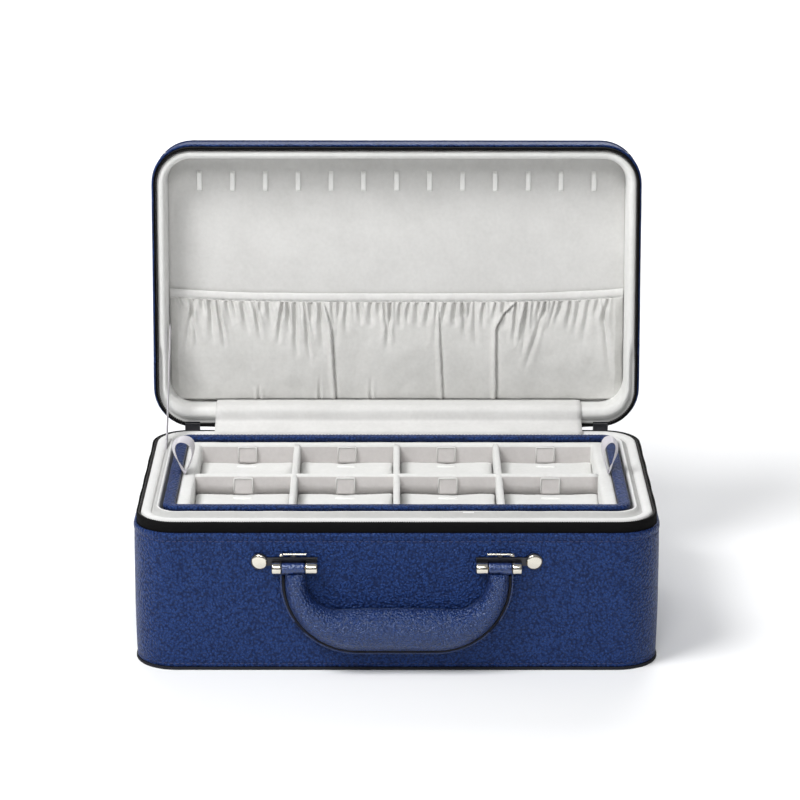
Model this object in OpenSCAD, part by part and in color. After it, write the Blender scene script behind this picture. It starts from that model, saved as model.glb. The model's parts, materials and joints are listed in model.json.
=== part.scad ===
// Leather jewellery case: a zipped case with a lid, a lift-out tray and a front handle.
// Millimetres. Origin: centre of the underside. +X right, front faces -Y, +Z up.
// The lid is drawn closed and then turned open about its hinge line.

/* [Case] */
// Outer width of the leather body
case_w = 300; // [240:5:380]
// Outer depth of the leather body, front to back
case_d = 175; // [145:5:230]
// Height of the base's leather wall
base_h = 82.7; // [70:0.1:120]
// Depth of the lid above the middle of the zip
lid_h = 31.5; // [28:0.5:45]
// Radius of the four upright corners
corner_r = 24; // [22:1:32]
// Angle of the open lid, from closed
lid_angle = 97; // [92:1:105]

/* [Walls] */
// Thickness of the leather
leather_t = 1.2; // [1:0.1:1.6]
// Thickness of the bottom and top leather panels
panel_t = 1.6; // [1.2:0.1:2.4]
// How far the bottom and top panels stand proud of the walls
panel_proud = 0.7; // [0.3:0.1:1.5]
// Thickness of the base's floor board
floor_board_t = 3; // [2:0.5:5]
// Thickness of the lid's top board
lid_board_t = 2.5; // [2:0.5:4]

/* [Zip] */
// Height of zip seen between each leather edge and the middle of the zip
zip_reveal = 6.8; // [6:0.1:9]
// Thickness of the zip tape
tape_t = 0.7; // [0.5:0.1:1]
// Depth of tape sewn in under the leather
tape_tuck = 12; // [8:1:14]
// Thickness of the zip coil
coil_t = 1.6; // [1.2:0.1:2]
// Height of one side of the zip coil
coil_h = 2.6; // [2:0.1:3]
// Gap from each coil to the middle of the zip
zip_gap = 0.6; // [0.5:0.1:0.8]
// Length of a slider
slider_l = 9; // [7:0.5:9]
// Height of a slider
slider_h = 8.8; // [8.4:0.1:9.4]
// Length of a pull tab, from its pivot
pull_l = 24; // [16:1:24]
// Free width of the leather hinge strip
hinge_w = 224; // [150:2:230]

/* [Lining] */
// How far the base rim stands above the middle of the zip
rim_rise = 2; // [2:0.5:4]
// Thickness of the outer padded rim
rim_t = 4.3; // [3:0.1:5]
// Width of the groove between the two rims
rim_groove = 1; // [0.8:0.1:1.5]
// Distance from the case's side to the tray opening
rim_side = 14; // [13:0.5:20]
// Distance from the case's front or back to the tray opening
rim_front = 18; // [14:0.5:24]
// Width of the ledge that carries the tray
ledge_w = 6; // [4:0.5:10]
// Thickness of the floor cushion
floor_pad_t = 3; // [2:0.5:6]
// How deep the lid rim lies behind the middle of the zip
lid_rim_set = 7; // [6.5:0.5:8]
// Width of the lid rim at the sides and front
lid_rim = 8.4; // [7.5:0.1:12]
// Width of the lid rim at the hinge
lid_rim_back = 12.6; // [9:0.1:16]
// Thickness of the lid's inner panel
lid_panel_t = 2; // [1.5:0.5:3]

/* [Tray] */
// Height of the tray
tray_h = 30; // [24:1:40]
// How far the tray top stands above the middle of the zip
tray_rise = 2.5; // [1:0.5:3.5]
// Gap between tray and lining at each side
tray_gap_side = 2; // [1:0.25:4]
// Gap between tray and lining at front and back
tray_gap_front = 1.25; // [0.75:0.25:3]
// Width of the tray's leather edge at the ends
tray_edge_side = 7; // [5:0.5:9]
// Width of the tray's leather edge at front and back
tray_edge_front = 6; // [5:0.5:9]
// Thickness of the soft liner at the tray's ends
end_liner_t = 8; // [4:0.5:12]
// Thickness of the soft liner at the tray's front and back
front_liner_t = 5; // [3:0.5:8]
// Thickness of the dividers
divider_t = 4; // [3:0.5:6]
// Depth of the tray's cells above their cushions
cell_depth = 10.5; // [8:0.5:14]
// Width of the tabs in the cells
tab_w = 11.4; // [8:0.2:14]
// Height of the pull ribbons above the tray
ribbon_h = 21; // [14:0.5:21.5]

/* [Lid fittings] */
// Distance between necklace loops
loop_pitch = 20.33; // [14:0.01:21]
// Length of a necklace loop
loop_l = 11.8; // [8:0.2:16]
// Height of the necklace loops' lower end above the hinge
loop_v = 144.9; // [112:0.1:146]
// Height of the pocket's mouth above the hinge
pocket_v = 81.8; // [60:0.1:90]
// Height of the pocket's elastic hem
hem_h = 6; // [5:0.5:10]
// Depth of the pocket
pocket_deep = 12.2; // [12:0.1:14]

/* [Handle] */
// Outer width of the handle
handle_w = 132; // [120:2:150]
// Length of the handle below its pivot
handle_l = 52.5; // [50:0.5:54]
// Height of the pivot above the floor
pivot_z = 63.4; // [60:0.1:65]
// Width of each handle arm
arm_w = 15; // [13:0.5:18]
// Height of the handle's grip
grip_h = 27; // [20:1:28]
// Thickness of the padded grip in front of its strap
grip_t = 10; // [8:0.5:12]
// Radius of the pivot pins
pin_r = 1.2; // [1:0.1:1.5]
// Radius of the bracket knuckles and handle loops
knuckle_r = 3.3; // [3:0.1:3.6]

/* [Hidden] */
$fn = 64;
// Small gap between parts that move past each other
fit = 0.3;
// Radial clearance of a turning pin
pin_fit = 0.06;
// Depth that cuts run past a face
cut = 1;

// Levels, from the floor up
zip_z = base_h + zip_reveal;
floor_z = panel_t + floor_board_t;
board_top = base_h + 1.3;
tape_foot = base_h - tape_tuck;
rim_top = zip_z + rim_rise;
liner_top = rim_top - 0.8;
tray_top = zip_z + tray_rise;
tray_z = tray_top - tray_h;
ledge_top = tray_z - 0.1;

// Insets from the case outline
tape_in = leather_t + tape_t;
coil_in = tape_in + coil_t;
slider_plate_t = 0.7;
slider_in_y = sqrt(pow(corner_r - coil_in - fit, 2) - pow(slider_l / 2, 2));
slider_out_y = corner_r - leather_t + fit;
rim_in = corner_r - (slider_in_y - slider_plate_t - 0.25);
groove_in = rim_in + rim_t;
liner_in = groove_in + rim_groove;

// Hinge side
hinge_y = case_d / 2;
corner_x = case_w / 2 - corner_r;
corner_y = case_d / 2 - corner_r;
coil_end_x = corner_x - slider_l / 2 - 2.5;
stop_l = 2;
lid_zip_end_x = corner_x + slider_l / 2 + 2;
slider_clear = slider_h / 2 + 0.8;

// Tray opening, tray and cells
open_w = case_w - 2 * rim_side;
open_d = case_d - 2 * rim_front;
open_r = 11;
tray_w = open_w - 2 * tray_gap_side;
tray_d = open_d - 2 * tray_gap_front;
tray_r = 9;
tray_skin = 1;
tray_floor_t = 3;
liner_drop = 3;
cell_floor_z = tray_z + 2 * tray_skin + tray_floor_t - 1;
divider_top = tray_top - liner_drop;
pad_top = divider_top - cell_depth;
cells_w = tray_w - 2 * tray_edge_side - 2 * end_liner_t;
cells_d = tray_d - 2 * tray_edge_front - 2 * front_liner_t;
columns = 4;
rows = 2;
pitch_x = (cells_w + divider_t) / columns;
pitch_y = (cells_d + divider_t) / rows;
cell_w = pitch_x - divider_t;
cell_d = pitch_y - divider_t;
lap = (divider_top - cell_floor_z) / 2;

// Lid, measured from the middle of the zip
lid_wall_top = lid_h - panel_t;
lid_panel_face = lid_wall_top - lid_board_t - lid_panel_t;
pocket_gap = 2;
pocket_w = case_w - 2 * (lid_rim + pocket_gap);
cloth_t = 1.2;
pocket_face = lid_panel_face - pocket_deep - cloth_t;
loop_count = 13;

// Handle
plate_t = 1.2;
pivot_y = -(case_d / 2 + plate_t + fit + knuckle_r);
pivot_x = (handle_w - arm_w) / 2;
strap_t = 1.6;
strap_back = pivot_y + knuckle_r;
strap_front = strap_back - strap_t;
handle_bottom = pivot_z - handle_l;
arm_top = pivot_z - knuckle_r - 0.6;
outer_bend = 44;
inner_bend = 18;
strap_w = arm_w - 1.6;
knuckle_gap = 0.2;
inner_knuckle_w = 6.6;
outer_knuckle_w = 5.2;
cap_r = 4.8;
cap_x = pivot_x + 19.3;
cap_z = pivot_z + 2.7;
rivet_r = 1.4;
head_r = 1.9;
washer_r = 3;
washer_t = 0.8;

cell_ids = [for (i = [1:columns * rows]) i];

// ---------- shared shapes ----------

// Rectangle with round corners
module plate2d(w, d, r) {
    square([w - 2 * r, d], center = true);
    square([w, d - 2 * r], center = true);
    for (x = [-1, 1], y = [-1, 1])
        translate([x * (w / 2 - r), y * (d / 2 - r)])
            circle(r);
}

module block(w, d, r, z0, z1) {
    translate([0, 0, z0])
        linear_extrude(z1 - z0)
            plate2d(w, d, r);
}

// Block that follows the case's outline, set in by a distance
module inset_block(inset, z0, z1) {
    block(case_w - 2 * inset, case_d - 2 * inset, corner_r - inset, z0, z1);
}

module ring(out, in, z0, z1) {
    difference() {
        inset_block(out, z0, z1);
        inset_block(in, z0 - cut, z1 + cut);
    }
}

// Box between two corners
module span(a, b) {
    translate(a)
        cube(b - a);
}

// Everything behind the case's back straight, between two X positions either side
module back_window(half_w, z0, z1) {
    span([-half_w, hinge_y - corner_r + cut, z0], [half_w, hinge_y + cut, z1]);
}

// Turns the closed lid's parts open about the hinge line
module open_lid() {
    translate([0, hinge_y, zip_z])
        rotate([-lid_angle, 0, 0])
            translate([0, -hinge_y, 0])
                children();
}

// Outline along a bent strip of even thickness, from points on one face
function normal(a, b) = [a[1] - b[1], b[0] - a[0]] / norm(b - a);
function strip_point(p, i, t) =
    let (n0 = normal(p[max(i - 1, 0)], p[max(i, 1)]),
         n1 = normal(p[min(i, len(p) - 2)], p[min(i + 1, len(p) - 1)]))
    p[i] + (n0 + n1) * t / (1 + n0 * n1);
function strip(p, t) = concat(p, [for (i = [len(p) - 1:-1:0]) strip_point(p, i, t)]);

// Extrudes an outline drawn in Y and Z along X
module along_x(x0, x1) {
    translate([x0, 0, 0])
        rotate([90, 0, 90])
            linear_extrude(x1 - x0)
                children();
}

// Extrudes an outline drawn in X and Z from y0 back to y1
module along_y(y0, y1) {
    translate([0, y1, 0])
        rotate([90, 0, 0])
            linear_extrude(y1 - y0)
                children();
}

module rod_x(x0, x1, y, z, r) {
    translate([x0, y, z])
        rotate([0, 90, 0])
            cylinder(h = x1 - x0, r = r);
}

module rod_y(x, y0, y1, z, r) {
    translate([x, y1, z])
        rotate([90, 0, 0])
            cylinder(h = y1 - y0, r = r);
}

module both_sides() {
    children();
    mirror([1, 0, 0])
        children();
}

// ---------- base ----------

module base_bottom_panel() {
    color("midnightblue")
        inset_block(-panel_proud, 0, panel_t);
}

module rivet_holes(r, y0, y1) {
    both_sides()
        for (p = rivet_places)
            rod_y(p[0], y0, y1, p[1], r);
}
rivet_places = [[cap_x, cap_z], [pivot_x, pivot_z + 5.9]];

module base_leather() {
    color("darkslateblue")
        difference() {
            ring(0, leather_t, panel_t, base_h);
            rivet_holes(rivet_r, -hinge_y - cut, -hinge_y + corner_r / 2);
        }
}

// Stiff shell: floor and walls in one, with a recess for the zip tape and the hinge strip
module base_board() {
    color("tan")
        difference() {
            inset_block(leather_t, panel_t, board_top);
            inset_block(rim_in, floor_z, board_top + cut);
            ring(leather_t - cut, tape_in, tape_foot, board_top + cut);
            rivet_holes(rivet_r, -hinge_y - cut, -hinge_y + corner_r / 2);
            rivet_holes(washer_r, -hinge_y + rim_in - 2 * washer_t, -hinge_y + rim_in + cut);
        }
}

module base_rim_lining() {
    color("whitesmoke")
        ring(rim_in, groove_in, floor_z, rim_top);
}

module base_inner_liner() {
    color("white")
        difference() {
            inset_block(liner_in, floor_z, liner_top);
            block(open_w, open_d, open_r, floor_z - cut, liner_top + cut);
        }
}

// Lining of the lower compartment, whose top edge carries the tray
module lower_liner() {
    color("gainsboro")
        difference() {
            block(open_w, open_d, open_r, floor_z, ledge_top);
            block(open_w - 2 * ledge_w, open_d - 2 * ledge_w, open_r - ledge_w, floor_z - cut, ledge_top + cut);
        }
}

module base_floor_pad() {
    color("ghostwhite")
        block(open_w - 2 * ledge_w, open_d - 2 * ledge_w, open_r - ledge_w, floor_z, floor_z + floor_pad_t);
}

module base_zip_tape() {
    color("black")
        difference() {
            ring(leather_t, tape_in, tape_foot, zip_z - zip_gap);
            back_window(hinge_w / 2, tape_foot - cut, zip_z);
        }
}

module base_zip_coil() {
    color("dimgray")
        difference() {
            ring(tape_in, coil_in, zip_z - zip_gap - coil_h, zip_z - zip_gap);
            back_window(coil_end_x, zip_z - zip_gap - 2 * coil_h, zip_z);
        }
}

// Crimps that close the ends of the zip
module zip_end_stops() {
    color("silver")
        both_sides()
            span([coil_end_x - stop_l, hinge_y - coil_in - 0.2, zip_z - zip_gap - coil_h - 0.2],
                 [coil_end_x, hinge_y - tape_in, zip_z - zip_gap]);
}

// Leather strip that bends about the hinge line, drawn with the lid open: two legs, each with a
// tongue sewn in under the leather, and a round fold on the hinge line
module hinge_strip() {
    slack = 0.05;
    lap_out = zip_reveal - slack;
    tuck = zip_reveal + tape_tuck;
    tongue_out = leather_t + slack;
    tongue_in = tape_in - slack;
    fold_r = tape_in + 0.25;
    color("navy")
        union() {
            along_x(-hinge_w / 2, hinge_w / 2)
                polygon([
                    [hinge_y, zip_z], [hinge_y, base_h], [hinge_y - leather_t, base_h],
                    [hinge_y - leather_t, tape_foot], [hinge_y - tape_in, tape_foot],
                    [hinge_y - tape_in, zip_z],
                    lid_point(tongue_in, 0), lid_point(tongue_in, tuck), lid_point(tongue_out, tuck),
                    lid_point(tongue_out, lap_out), lid_point(0, lap_out)]);
            rod_x(-hinge_w / 2, hinge_w / 2, hinge_y, zip_z, fold_r);
        }
}

// A point of the open lid in the case's Y and Z, from its height v above the hinge and depth h
function lid_point(v, h) =
    [hinge_y - v * cos(lid_angle) + h * sin(lid_angle),
     zip_z + v * sin(lid_angle) + h * cos(lid_angle)];

// Cloth over the hinge, from the groove in the base rim to the inside of the lid rim
module hinge_cover() {
    cover_t = 0.7;
    gap = 0.1;
    groove_y = hinge_y - groove_in - gap;
    path = [
        [groove_y, rim_top - 6],
        [groove_y, rim_top + gap],
        [hinge_y - rim_in, rim_top + gap],
        lid_point(8, lid_rim_set - gap),
        lid_point(lid_rim_back + gap, lid_rim_set - gap),
        lid_point(lid_rim_back + gap, lid_rim_set + 4)];
    color("white")
        along_x(-hinge_w / 2, hinge_w / 2)
            polygon(strip(path, cover_t));
}

// Ribbon on the left that stops the lid, from the rim groove to the lid's side
module lid_stay_ribbon() {
    ribbon_t = 0.6;
    ribbon_w = 10;
    x = -case_w / 2 + groove_in + rim_groove / 2;
    foot = [corner_y - 14, zip_z - 8];
    head = lid_point(60, 12);
    color("white")
        along_x(x - ribbon_t / 2, x + ribbon_t / 2)
            polygon([foot - [ribbon_w / 2, 0], foot + [ribbon_w / 2, 0], head + [2, -4], head + [-5, 4]]);
}

// ---------- handle brackets ----------

module bracket_outline() {
    x0 = pivot_x - strap_w / 2 - knuckle_gap;
    x1 = pivot_x + strap_w / 2 + knuckle_gap + outer_knuckle_w;
    z0 = pivot_z - knuckle_r;
    difference() {
        union() {
            translate([x0 - inner_knuckle_w, z0])
                square([x1 - x0 + inner_knuckle_w, 3 * knuckle_r - 1.4]);
            translate([x1 - 0.5, cap_z - 2.4])
                square([cap_x - x1 + 0.5, 4.8]);
            translate([cap_x, cap_z])
                circle(cap_r);
        }
        for (p = rivet_places)
            translate(p)
                circle(rivet_r);
    }
}

module knuckle(x0, x1) {
    difference() {
        union() {
            rod_x(x0, x1, pivot_y, pivot_z, knuckle_r);
            span([x0, pivot_y, pivot_z - knuckle_r], [x1, -hinge_y - plate_t, pivot_z + knuckle_r]);
        }
        rod_x(x0 - cut, x1 + cut, pivot_y, pivot_z, pin_r);
    }
}

module bracket() {
    inner_x = pivot_x - strap_w / 2 - knuckle_gap;
    outer_x = pivot_x + strap_w / 2 + knuckle_gap;
    color("silver")
        union() {
            along_y(-hinge_y - plate_t, -hinge_y)
                bracket_outline();
            knuckle(inner_x - inner_knuckle_w, inner_x);
            knuckle(outer_x, outer_x + outer_knuckle_w);
        }
}

module bracket_right() {
    bracket();
}

module bracket_left() {
    mirror([1, 0, 0])
        bracket();
}

module bracket_pin() {
    pin_end = strap_w / 2 + knuckle_gap;
    color("goldenrod")
        rod_x(pivot_x - pin_end - inner_knuckle_w, pivot_x + pin_end + outer_knuckle_w,
              pivot_y, pivot_z, pin_r - 0.01);
}

module bracket_pin_right() {
    bracket_pin();
}

module bracket_pin_left() {
    mirror([1, 0, 0])
        bracket_pin();
}

// Rivets through the bracket, the leather and the board; the outer one has a large cap
module bracket_rivets() {
    color("gainsboro")
        both_sides()
            for (i = [0, 1]) {
                p = rivet_places[i];
                head_t = i == 0 ? 1.2 : 0.6;
                union() {
                    rod_y(p[0], -hinge_y - plate_t - head_t, -hinge_y - plate_t, p[1], i == 0 ? cap_r - 0.6 : head_r);
                    rod_y(p[0], -hinge_y - plate_t - head_t / 2, -hinge_y + rim_in - washer_t, p[1], rivet_r - 0.01);
                }
            }
}

module rivet_washers() {
    color("silver")
        both_sides()
            for (p = rivet_places)
                rod_y(p[0], -hinge_y + rim_in - washer_t, -hinge_y + rim_in - 0.05, p[1], washer_r - 0.1);
}

// ---------- handle ----------

// Handle outline in X and Z, set in from its edge by a distance
module handle2d(inset) {
    r = outer_bend - inset;
    low = handle_bottom + inset;
    half = handle_w / 2 - inset;
    inner_half = handle_w / 2 - arm_w + inset;
    inner_low = handle_bottom + grip_h - inset;
    ri = inner_bend + inset;
    difference() {
        union() {
            translate([-half, low + r])
                square([2 * half, arm_top - low - r]);
            translate([-half + r, low])
                square([2 * (half - r), r + cut]);
            for (side = [-1, 1])
                translate([side * (half - r), low + r])
                    circle(r);
        }
        translate([-inner_half, inner_low + ri])
            square([2 * inner_half, arm_top - inner_low - ri + cut]);
        translate([-inner_half + ri, inner_low])
            square([2 * (inner_half - ri), ri + cut]);
        for (side = [-1, 1])
            translate([side * (inner_half - ri), inner_low + ri])
                circle(ri);
        translate([-handle_w, arm_top])
            square([2 * handle_w, outer_bend]);
    }
}

// Flat leather strap whose ends wrap round the pivot pins
module handle_strap() {
    color("midnightblue")
        difference() {
            union() {
                along_y(strap_front, strap_back)
                    handle2d(0);
                both_sides() {
                    rod_x(pivot_x - strap_w / 2, pivot_x + strap_w / 2, pivot_y, pivot_z, knuckle_r);
                    span([pivot_x - strap_w / 2, strap_front, arm_top - cut],
                         [pivot_x + strap_w / 2, strap_back, pivot_z]);
                }
            }
            both_sides()
                rod_x(pivot_x - strap_w, pivot_x + strap_w, pivot_y, pivot_z, pin_r + pin_fit);
        }
}

cover_edge = 1.5;
cover_wall = 1.4;
thin_arm = 6;

// Part of the handle outline low enough to be thick and still clear the case when raised
module grip2d(inset) {
    intersection() {
        handle2d(inset);
        translate([-handle_w / 2, 0])
            square([handle_w, arm_top - thin_arm - inset + cover_edge]);
    }
}

module handle_cover() {
    color("darkslateblue")
        difference() {
            union() {
                along_y(strap_front - grip_t, strap_front)
                    grip2d(cover_edge);
                along_y(strap_front - 3.5, strap_front)
                    handle2d(cover_edge);
            }
            along_y(strap_front - grip_t + cover_wall, strap_front + cut)
                grip2d(cover_edge + cover_wall);
        }
}

module handle_filler() {
    color("burlywood")
        along_y(strap_front - grip_t + cover_wall, strap_front)
            grip2d(cover_edge + cover_wall);
}

// ---------- lid, drawn closed from the middle of the zip ----------

module lid_part() {
    open_lid()
        children();
}

module lid_leather() {
    color("darkslateblue")
        lid_part()
            ring(0, leather_t, zip_reveal, lid_wall_top);
}

module lid_top_panel() {
    color("midnightblue")
        lid_part()
            inset_block(-panel_proud, lid_wall_top, lid_h);
}

module lid_board() {
    color("tan")
        lid_part()
            difference() {
                inset_block(leather_t, lid_rim_set + 1.5, lid_wall_top);
                inset_block(rim_in, lid_rim_set, lid_wall_top - lid_board_t);
                ring(leather_t - cut, tape_in, lid_rim_set, zip_reveal + tape_tuck);
            }
}

// The space inside the lid rim, set in by a distance, between two depths
module lid_hollow(inset, h0, h1) {
    hollow_w = case_w - 2 * (lid_rim + inset);
    hollow_d = case_d - lid_rim - lid_rim_back - 2 * inset;
    translate([0, (lid_rim - lid_rim_back) / 2, 0])
        block(hollow_w, hollow_d, corner_r - lid_rim - inset, h0, h1);
}

module lid_rim_lining() {
    color("white")
        lid_part()
            difference() {
                union() {
                    inset_block(tape_in + 0.1, lid_rim_set, lid_rim_set + 1.5);
                    inset_block(rim_in, lid_rim_set + cut, lid_panel_face);
                }
                lid_hollow(0, lid_rim_set - cut, lid_panel_face + cut);
            }
}

module lid_inner_panel() {
    color("lightgray")
        lid_part()
            inset_block(rim_in, lid_panel_face, lid_panel_face + lid_panel_t);
}

// The lid's tape and coil stop short of the parked sliders
module lid_zip_tape() {
    color("black")
        lid_part()
            difference() {
                ring(leather_t, tape_in, zip_gap, zip_reveal + tape_tuck);
                back_window(hinge_w / 2, 0, zip_reveal + tape_tuck + cut);
                back_window(lid_zip_end_x, 0, slider_clear);
            }
}

module lid_zip_coil() {
    color("dimgray")
        lid_part()
            difference() {
                ring(tape_in, coil_in, zip_gap, zip_gap + coil_h);
                back_window(lid_zip_end_x, 0, zip_gap + 2 * coil_h);
            }
}

// A flat ribbon loop with both ends on the panel, in the lid's height and depth
module necklace_loop2d() {
    rise = 2;
    t = 0.8;
    polygon([
        [0, 0], [0, rise - 0.8], [0.8, rise], [loop_l - 0.8, rise], [loop_l, rise - 0.8], [loop_l, 0],
        [loop_l - t, 0], [loop_l - t, rise - t - 0.4], [loop_l - t - 0.4, rise - t],
        [t + 0.4, rise - t], [t, rise - t - 0.4], [t, 0]]);
}

module necklace_loops() {
    loop_w = 2.4;
    color("white")
        lid_part()
            for (i = [0:loop_count - 1])
                translate([(i - (loop_count - 1) / 2) * loop_pitch - loop_w / 2, hinge_y - loop_v, lid_panel_face])
                    rotate([180, 0, 0])
                        rotate([90, 0, 90])
                            linear_extrude(loop_w)
                                necklace_loop2d();
}

// Gathered pocket: a bag open at the top, standing on the lid panel
module lid_pocket() {
    half = pocket_w / 2;
    color("lightgray")
        lid_part()
            difference() {
                intersection() {
                    lid_hollow(pocket_gap, pocket_face, lid_panel_face);
                    span([-half, hinge_y - pocket_v, pocket_face], [half, hinge_y, lid_panel_face]);
                }
                intersection() {
                    lid_hollow(pocket_gap + cloth_t, pocket_face + cloth_t, lid_panel_face + cut);
                    span([-half, hinge_y - pocket_v - cut, 0], [half, hinge_y, lid_h]);
                }
                span([-half + cloth_t, hinge_y - pocket_v - cut, pocket_face - cut],
                     [half - cloth_t, hinge_y - pocket_v + hem_h, pocket_face + 2 * cloth_t]);
            }
}

hem_t = 2;
elastic_t = 0.8;
elastic_h = hem_h - 1.6;

module elastic_band(x_out) {
    middle = pocket_v - hem_h / 2;
    span([-pocket_w / 2 + cloth_t + x_out, hinge_y - middle - elastic_h / 2, pocket_face + (hem_t - elastic_t) / 2],
         [pocket_w / 2 - cloth_t - x_out, hinge_y - middle + elastic_h / 2, pocket_face + (hem_t + elastic_t) / 2]);
}

module pocket_hem() {
    color("silver")
        lid_part()
            difference() {
                span([-pocket_w / 2 + cloth_t, hinge_y - pocket_v, pocket_face],
                     [pocket_w / 2 - cloth_t, hinge_y - pocket_v + hem_h, pocket_face + hem_t]);
                elastic_band(1);
            }
}

module pocket_elastic() {
    color("white")
        lid_part()
            elastic_band(1);
}

// ---------- tray ----------

// Block inside the tray's outline, set in by a distance at the ends and at front and back
module tray_block(side, front, z0, z1) {
    block(tray_w - 2 * side, tray_d - 2 * front, max(tray_r - min(side, front), 2), z0, z1);
}

module tray_ring(side0, front0, side1, front1, z0, z1) {
    difference() {
        tray_block(side0, front0, z0, z1);
        tray_block(side1, front1, z0 - cut, z1 + cut);
    }
}

// Leather over the outside, the top edge and a little way down inside
module tray_leather() {
    color("navy")
        union() {
            tray_ring(0, 0, tray_skin, tray_skin, tray_z, tray_top);
            tray_ring(0, 0, tray_edge_side, tray_edge_front, tray_top - tray_skin, tray_top);
            tray_ring(tray_edge_side - tray_skin, tray_edge_front - tray_skin,
                      tray_edge_side, tray_edge_front, divider_top - 1, tray_top);
        }
}

module tray_board() {
    color("tan")
        difference() {
            tray_block(tray_skin, tray_skin, tray_z + tray_skin, tray_top - tray_skin);
            tray_block(tray_edge_side, tray_edge_front, cell_floor_z, tray_top);
            tray_block(tray_edge_side - tray_skin, tray_edge_front - tray_skin, divider_top - 1, tray_top);
        }
}

module tray_bottom_cover() {
    color("dimgray")
        tray_block(tray_skin, tray_skin, tray_z, tray_z + tray_skin);
}

module tray_liner() {
    color("white")
        difference() {
            tray_block(tray_edge_side, tray_edge_front, cell_floor_z, divider_top);
            block(cells_w, cells_d, 1.5, cell_floor_z - cut, tray_top);
        }
}

function divider_x(i) = (i - columns / 2) * pitch_x;

module long_divider() {
    color("white")
        difference() {
            span([-cells_w / 2, -divider_t / 2, cell_floor_z], [cells_w / 2, divider_t / 2, divider_top]);
            for (i = [1:columns - 1])
                span([divider_x(i) - divider_t / 2, -divider_t, cell_floor_z - cut],
                     [divider_x(i) + divider_t / 2, divider_t, cell_floor_z + lap]);
        }
}

module cross_divider(i) {
    x = divider_x(i);
    color("white")
        difference() {
            span([x - divider_t / 2, -cells_d / 2, cell_floor_z], [x + divider_t / 2, cells_d / 2, divider_top]);
            span([x - divider_t, -divider_t / 2, cell_floor_z + lap], [x + divider_t, divider_t / 2, divider_top + cut]);
        }
}

module cross_divider_left() {
    cross_divider(1);
}

module cross_divider_middle() {
    cross_divider(2);
}

module cross_divider_right() {
    cross_divider(3);
}

// Centre of a cell, numbered from the front left, row by row
function cell_x(i) = ((i - 1) % columns - (columns - 1) / 2) * pitch_x;
function cell_y(i) = (floor((i - 1) / columns) - (rows - 1) / 2) * pitch_y;

module cell_cushion(i) {
    gap = 0.1;
    color("whitesmoke")
        translate([cell_x(i), cell_y(i), 0])
            block(cell_w - 2 * gap, cell_d - 2 * gap, 2, cell_floor_z, pad_top);
}

// A fabric tab standing against the back wall of each cell
module cell_back_tabs() {
    tab_h = cell_depth - 1.2;
    tab_t = 2;
    color("silver")
        for (i = cell_ids)
            translate([cell_x(i), cell_y(i) + cell_d / 2, 0])
                span([-tab_w / 2, -tab_t, pad_top], [tab_w / 2, 0, pad_top + tab_h]);
}

// The tab's other end, folded up through the cushion
module cell_floor_tabs() {
    color("white")
        for (i = cell_ids)
            translate([cell_x(i), cell_y(i) + cell_d / 4, 0])
                span([-tab_w / 2, -1.2, pad_top], [tab_w / 2, 1.2, pad_top + 0.8]);
}

// A satin ribbon folded into a standing loop at the tray's end
module pull_ribbon() {
    loop_r = 6;
    ribbon_t = 0.8;
    ribbon_w = 7;
    x = tray_w / 2 - tray_edge_side - 2;
    top = divider_top + liner_drop + ribbon_h;
    arc_z = top - loop_r;
    foot = [x, divider_top];
    color("lavender")
        along_y(-ribbon_w / 2, ribbon_w / 2)
            difference() {
                union() {
                    translate([x, arc_z])
                        circle(loop_r);
                    polygon([foot - [1, 0], foot + [1, 0], [x + loop_r, arc_z], [x - loop_r, arc_z]]);
                }
                translate([x, arc_z])
                    circle(loop_r - ribbon_t);
                polygon([foot + [0, 3], [x + loop_r - ribbon_t, arc_z], [x - loop_r + ribbon_t, arc_z]]);
            }
}

module pull_ribbon_right() {
    pull_ribbon();
}

module pull_ribbon_left() {
    mirror([1, 0, 0])
        pull_ribbon();
}

// ---------- zip sliders, drawn about the rear corner's upright axis ----------

bail_y = slider_out_y + slider_plate_t + 2.2;
bail_z = zip_z - 1;
bail_r = 0.6;
bail_half = 2;

module slider() {
    half = slider_l / 2;
    z0 = zip_z - slider_h / 2;
    z1 = zip_z + slider_h / 2;
    plate_y = slider_out_y + slider_plate_t;
    color("silver")
        union() {
            // inner plate with two lips
            span([-half, slider_in_y - slider_plate_t, z0], [half, slider_in_y, z1]);
            span([-half, slider_in_y - slider_plate_t, z0], [half, slider_in_y + 1.4, z0 + 0.5]);
            span([-half, slider_in_y - slider_plate_t, z1 - 0.5], [half, slider_in_y + 1.4, z1]);
            // outer plate
            span([-half, slider_out_y, z0], [half, plate_y, z1]);
            // post between the two plates
            span([-1.5, slider_in_y - 0.1, zip_z - 0.35], [1.5, slider_out_y + 0.1, zip_z + 0.35]);
            // bail
            for (side = [-1, 1])
                span([side * (bail_half + 0.4) - 0.4, plate_y - 0.1, bail_z - bail_r],
                     [side * (bail_half + 0.4) + 0.4, bail_y + bail_r, bail_z + bail_r]);
            rod_x(-bail_half - 0.4, bail_half + 0.4, bail_y, bail_z, bail_r);
        }
}

// Flat pull with a ring round the bail, hanging straight down
module pull_tab() {
    ring_half = bail_half - 0.2;
    ring_r = 1.5;
    pull_w = 6;
    t = 1.4;
    color("gainsboro")
        difference() {
            union() {
                rod_x(-ring_half, ring_half, bail_y, bail_z, ring_r);
                span([-ring_half, bail_y - t / 2, bail_z - 4], [ring_half, bail_y + t / 2, bail_z]);
                along_y(bail_y - t / 2, bail_y + t / 2)
                    union() {
                        translate([-pull_w / 2, bail_z - pull_l + pull_w / 2])
                            square([pull_w, pull_l - pull_w / 2 - 3]);
                        translate([0, bail_z - pull_l + pull_w / 2])
                            circle(pull_w / 2);
                    }
            }
            rod_x(-2 * ring_half, 2 * ring_half, bail_y, bail_z, bail_r + pin_fit);
        }
}

module at_right_corner() {
    translate([corner_x, corner_y, 0])
        children();
}

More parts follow.
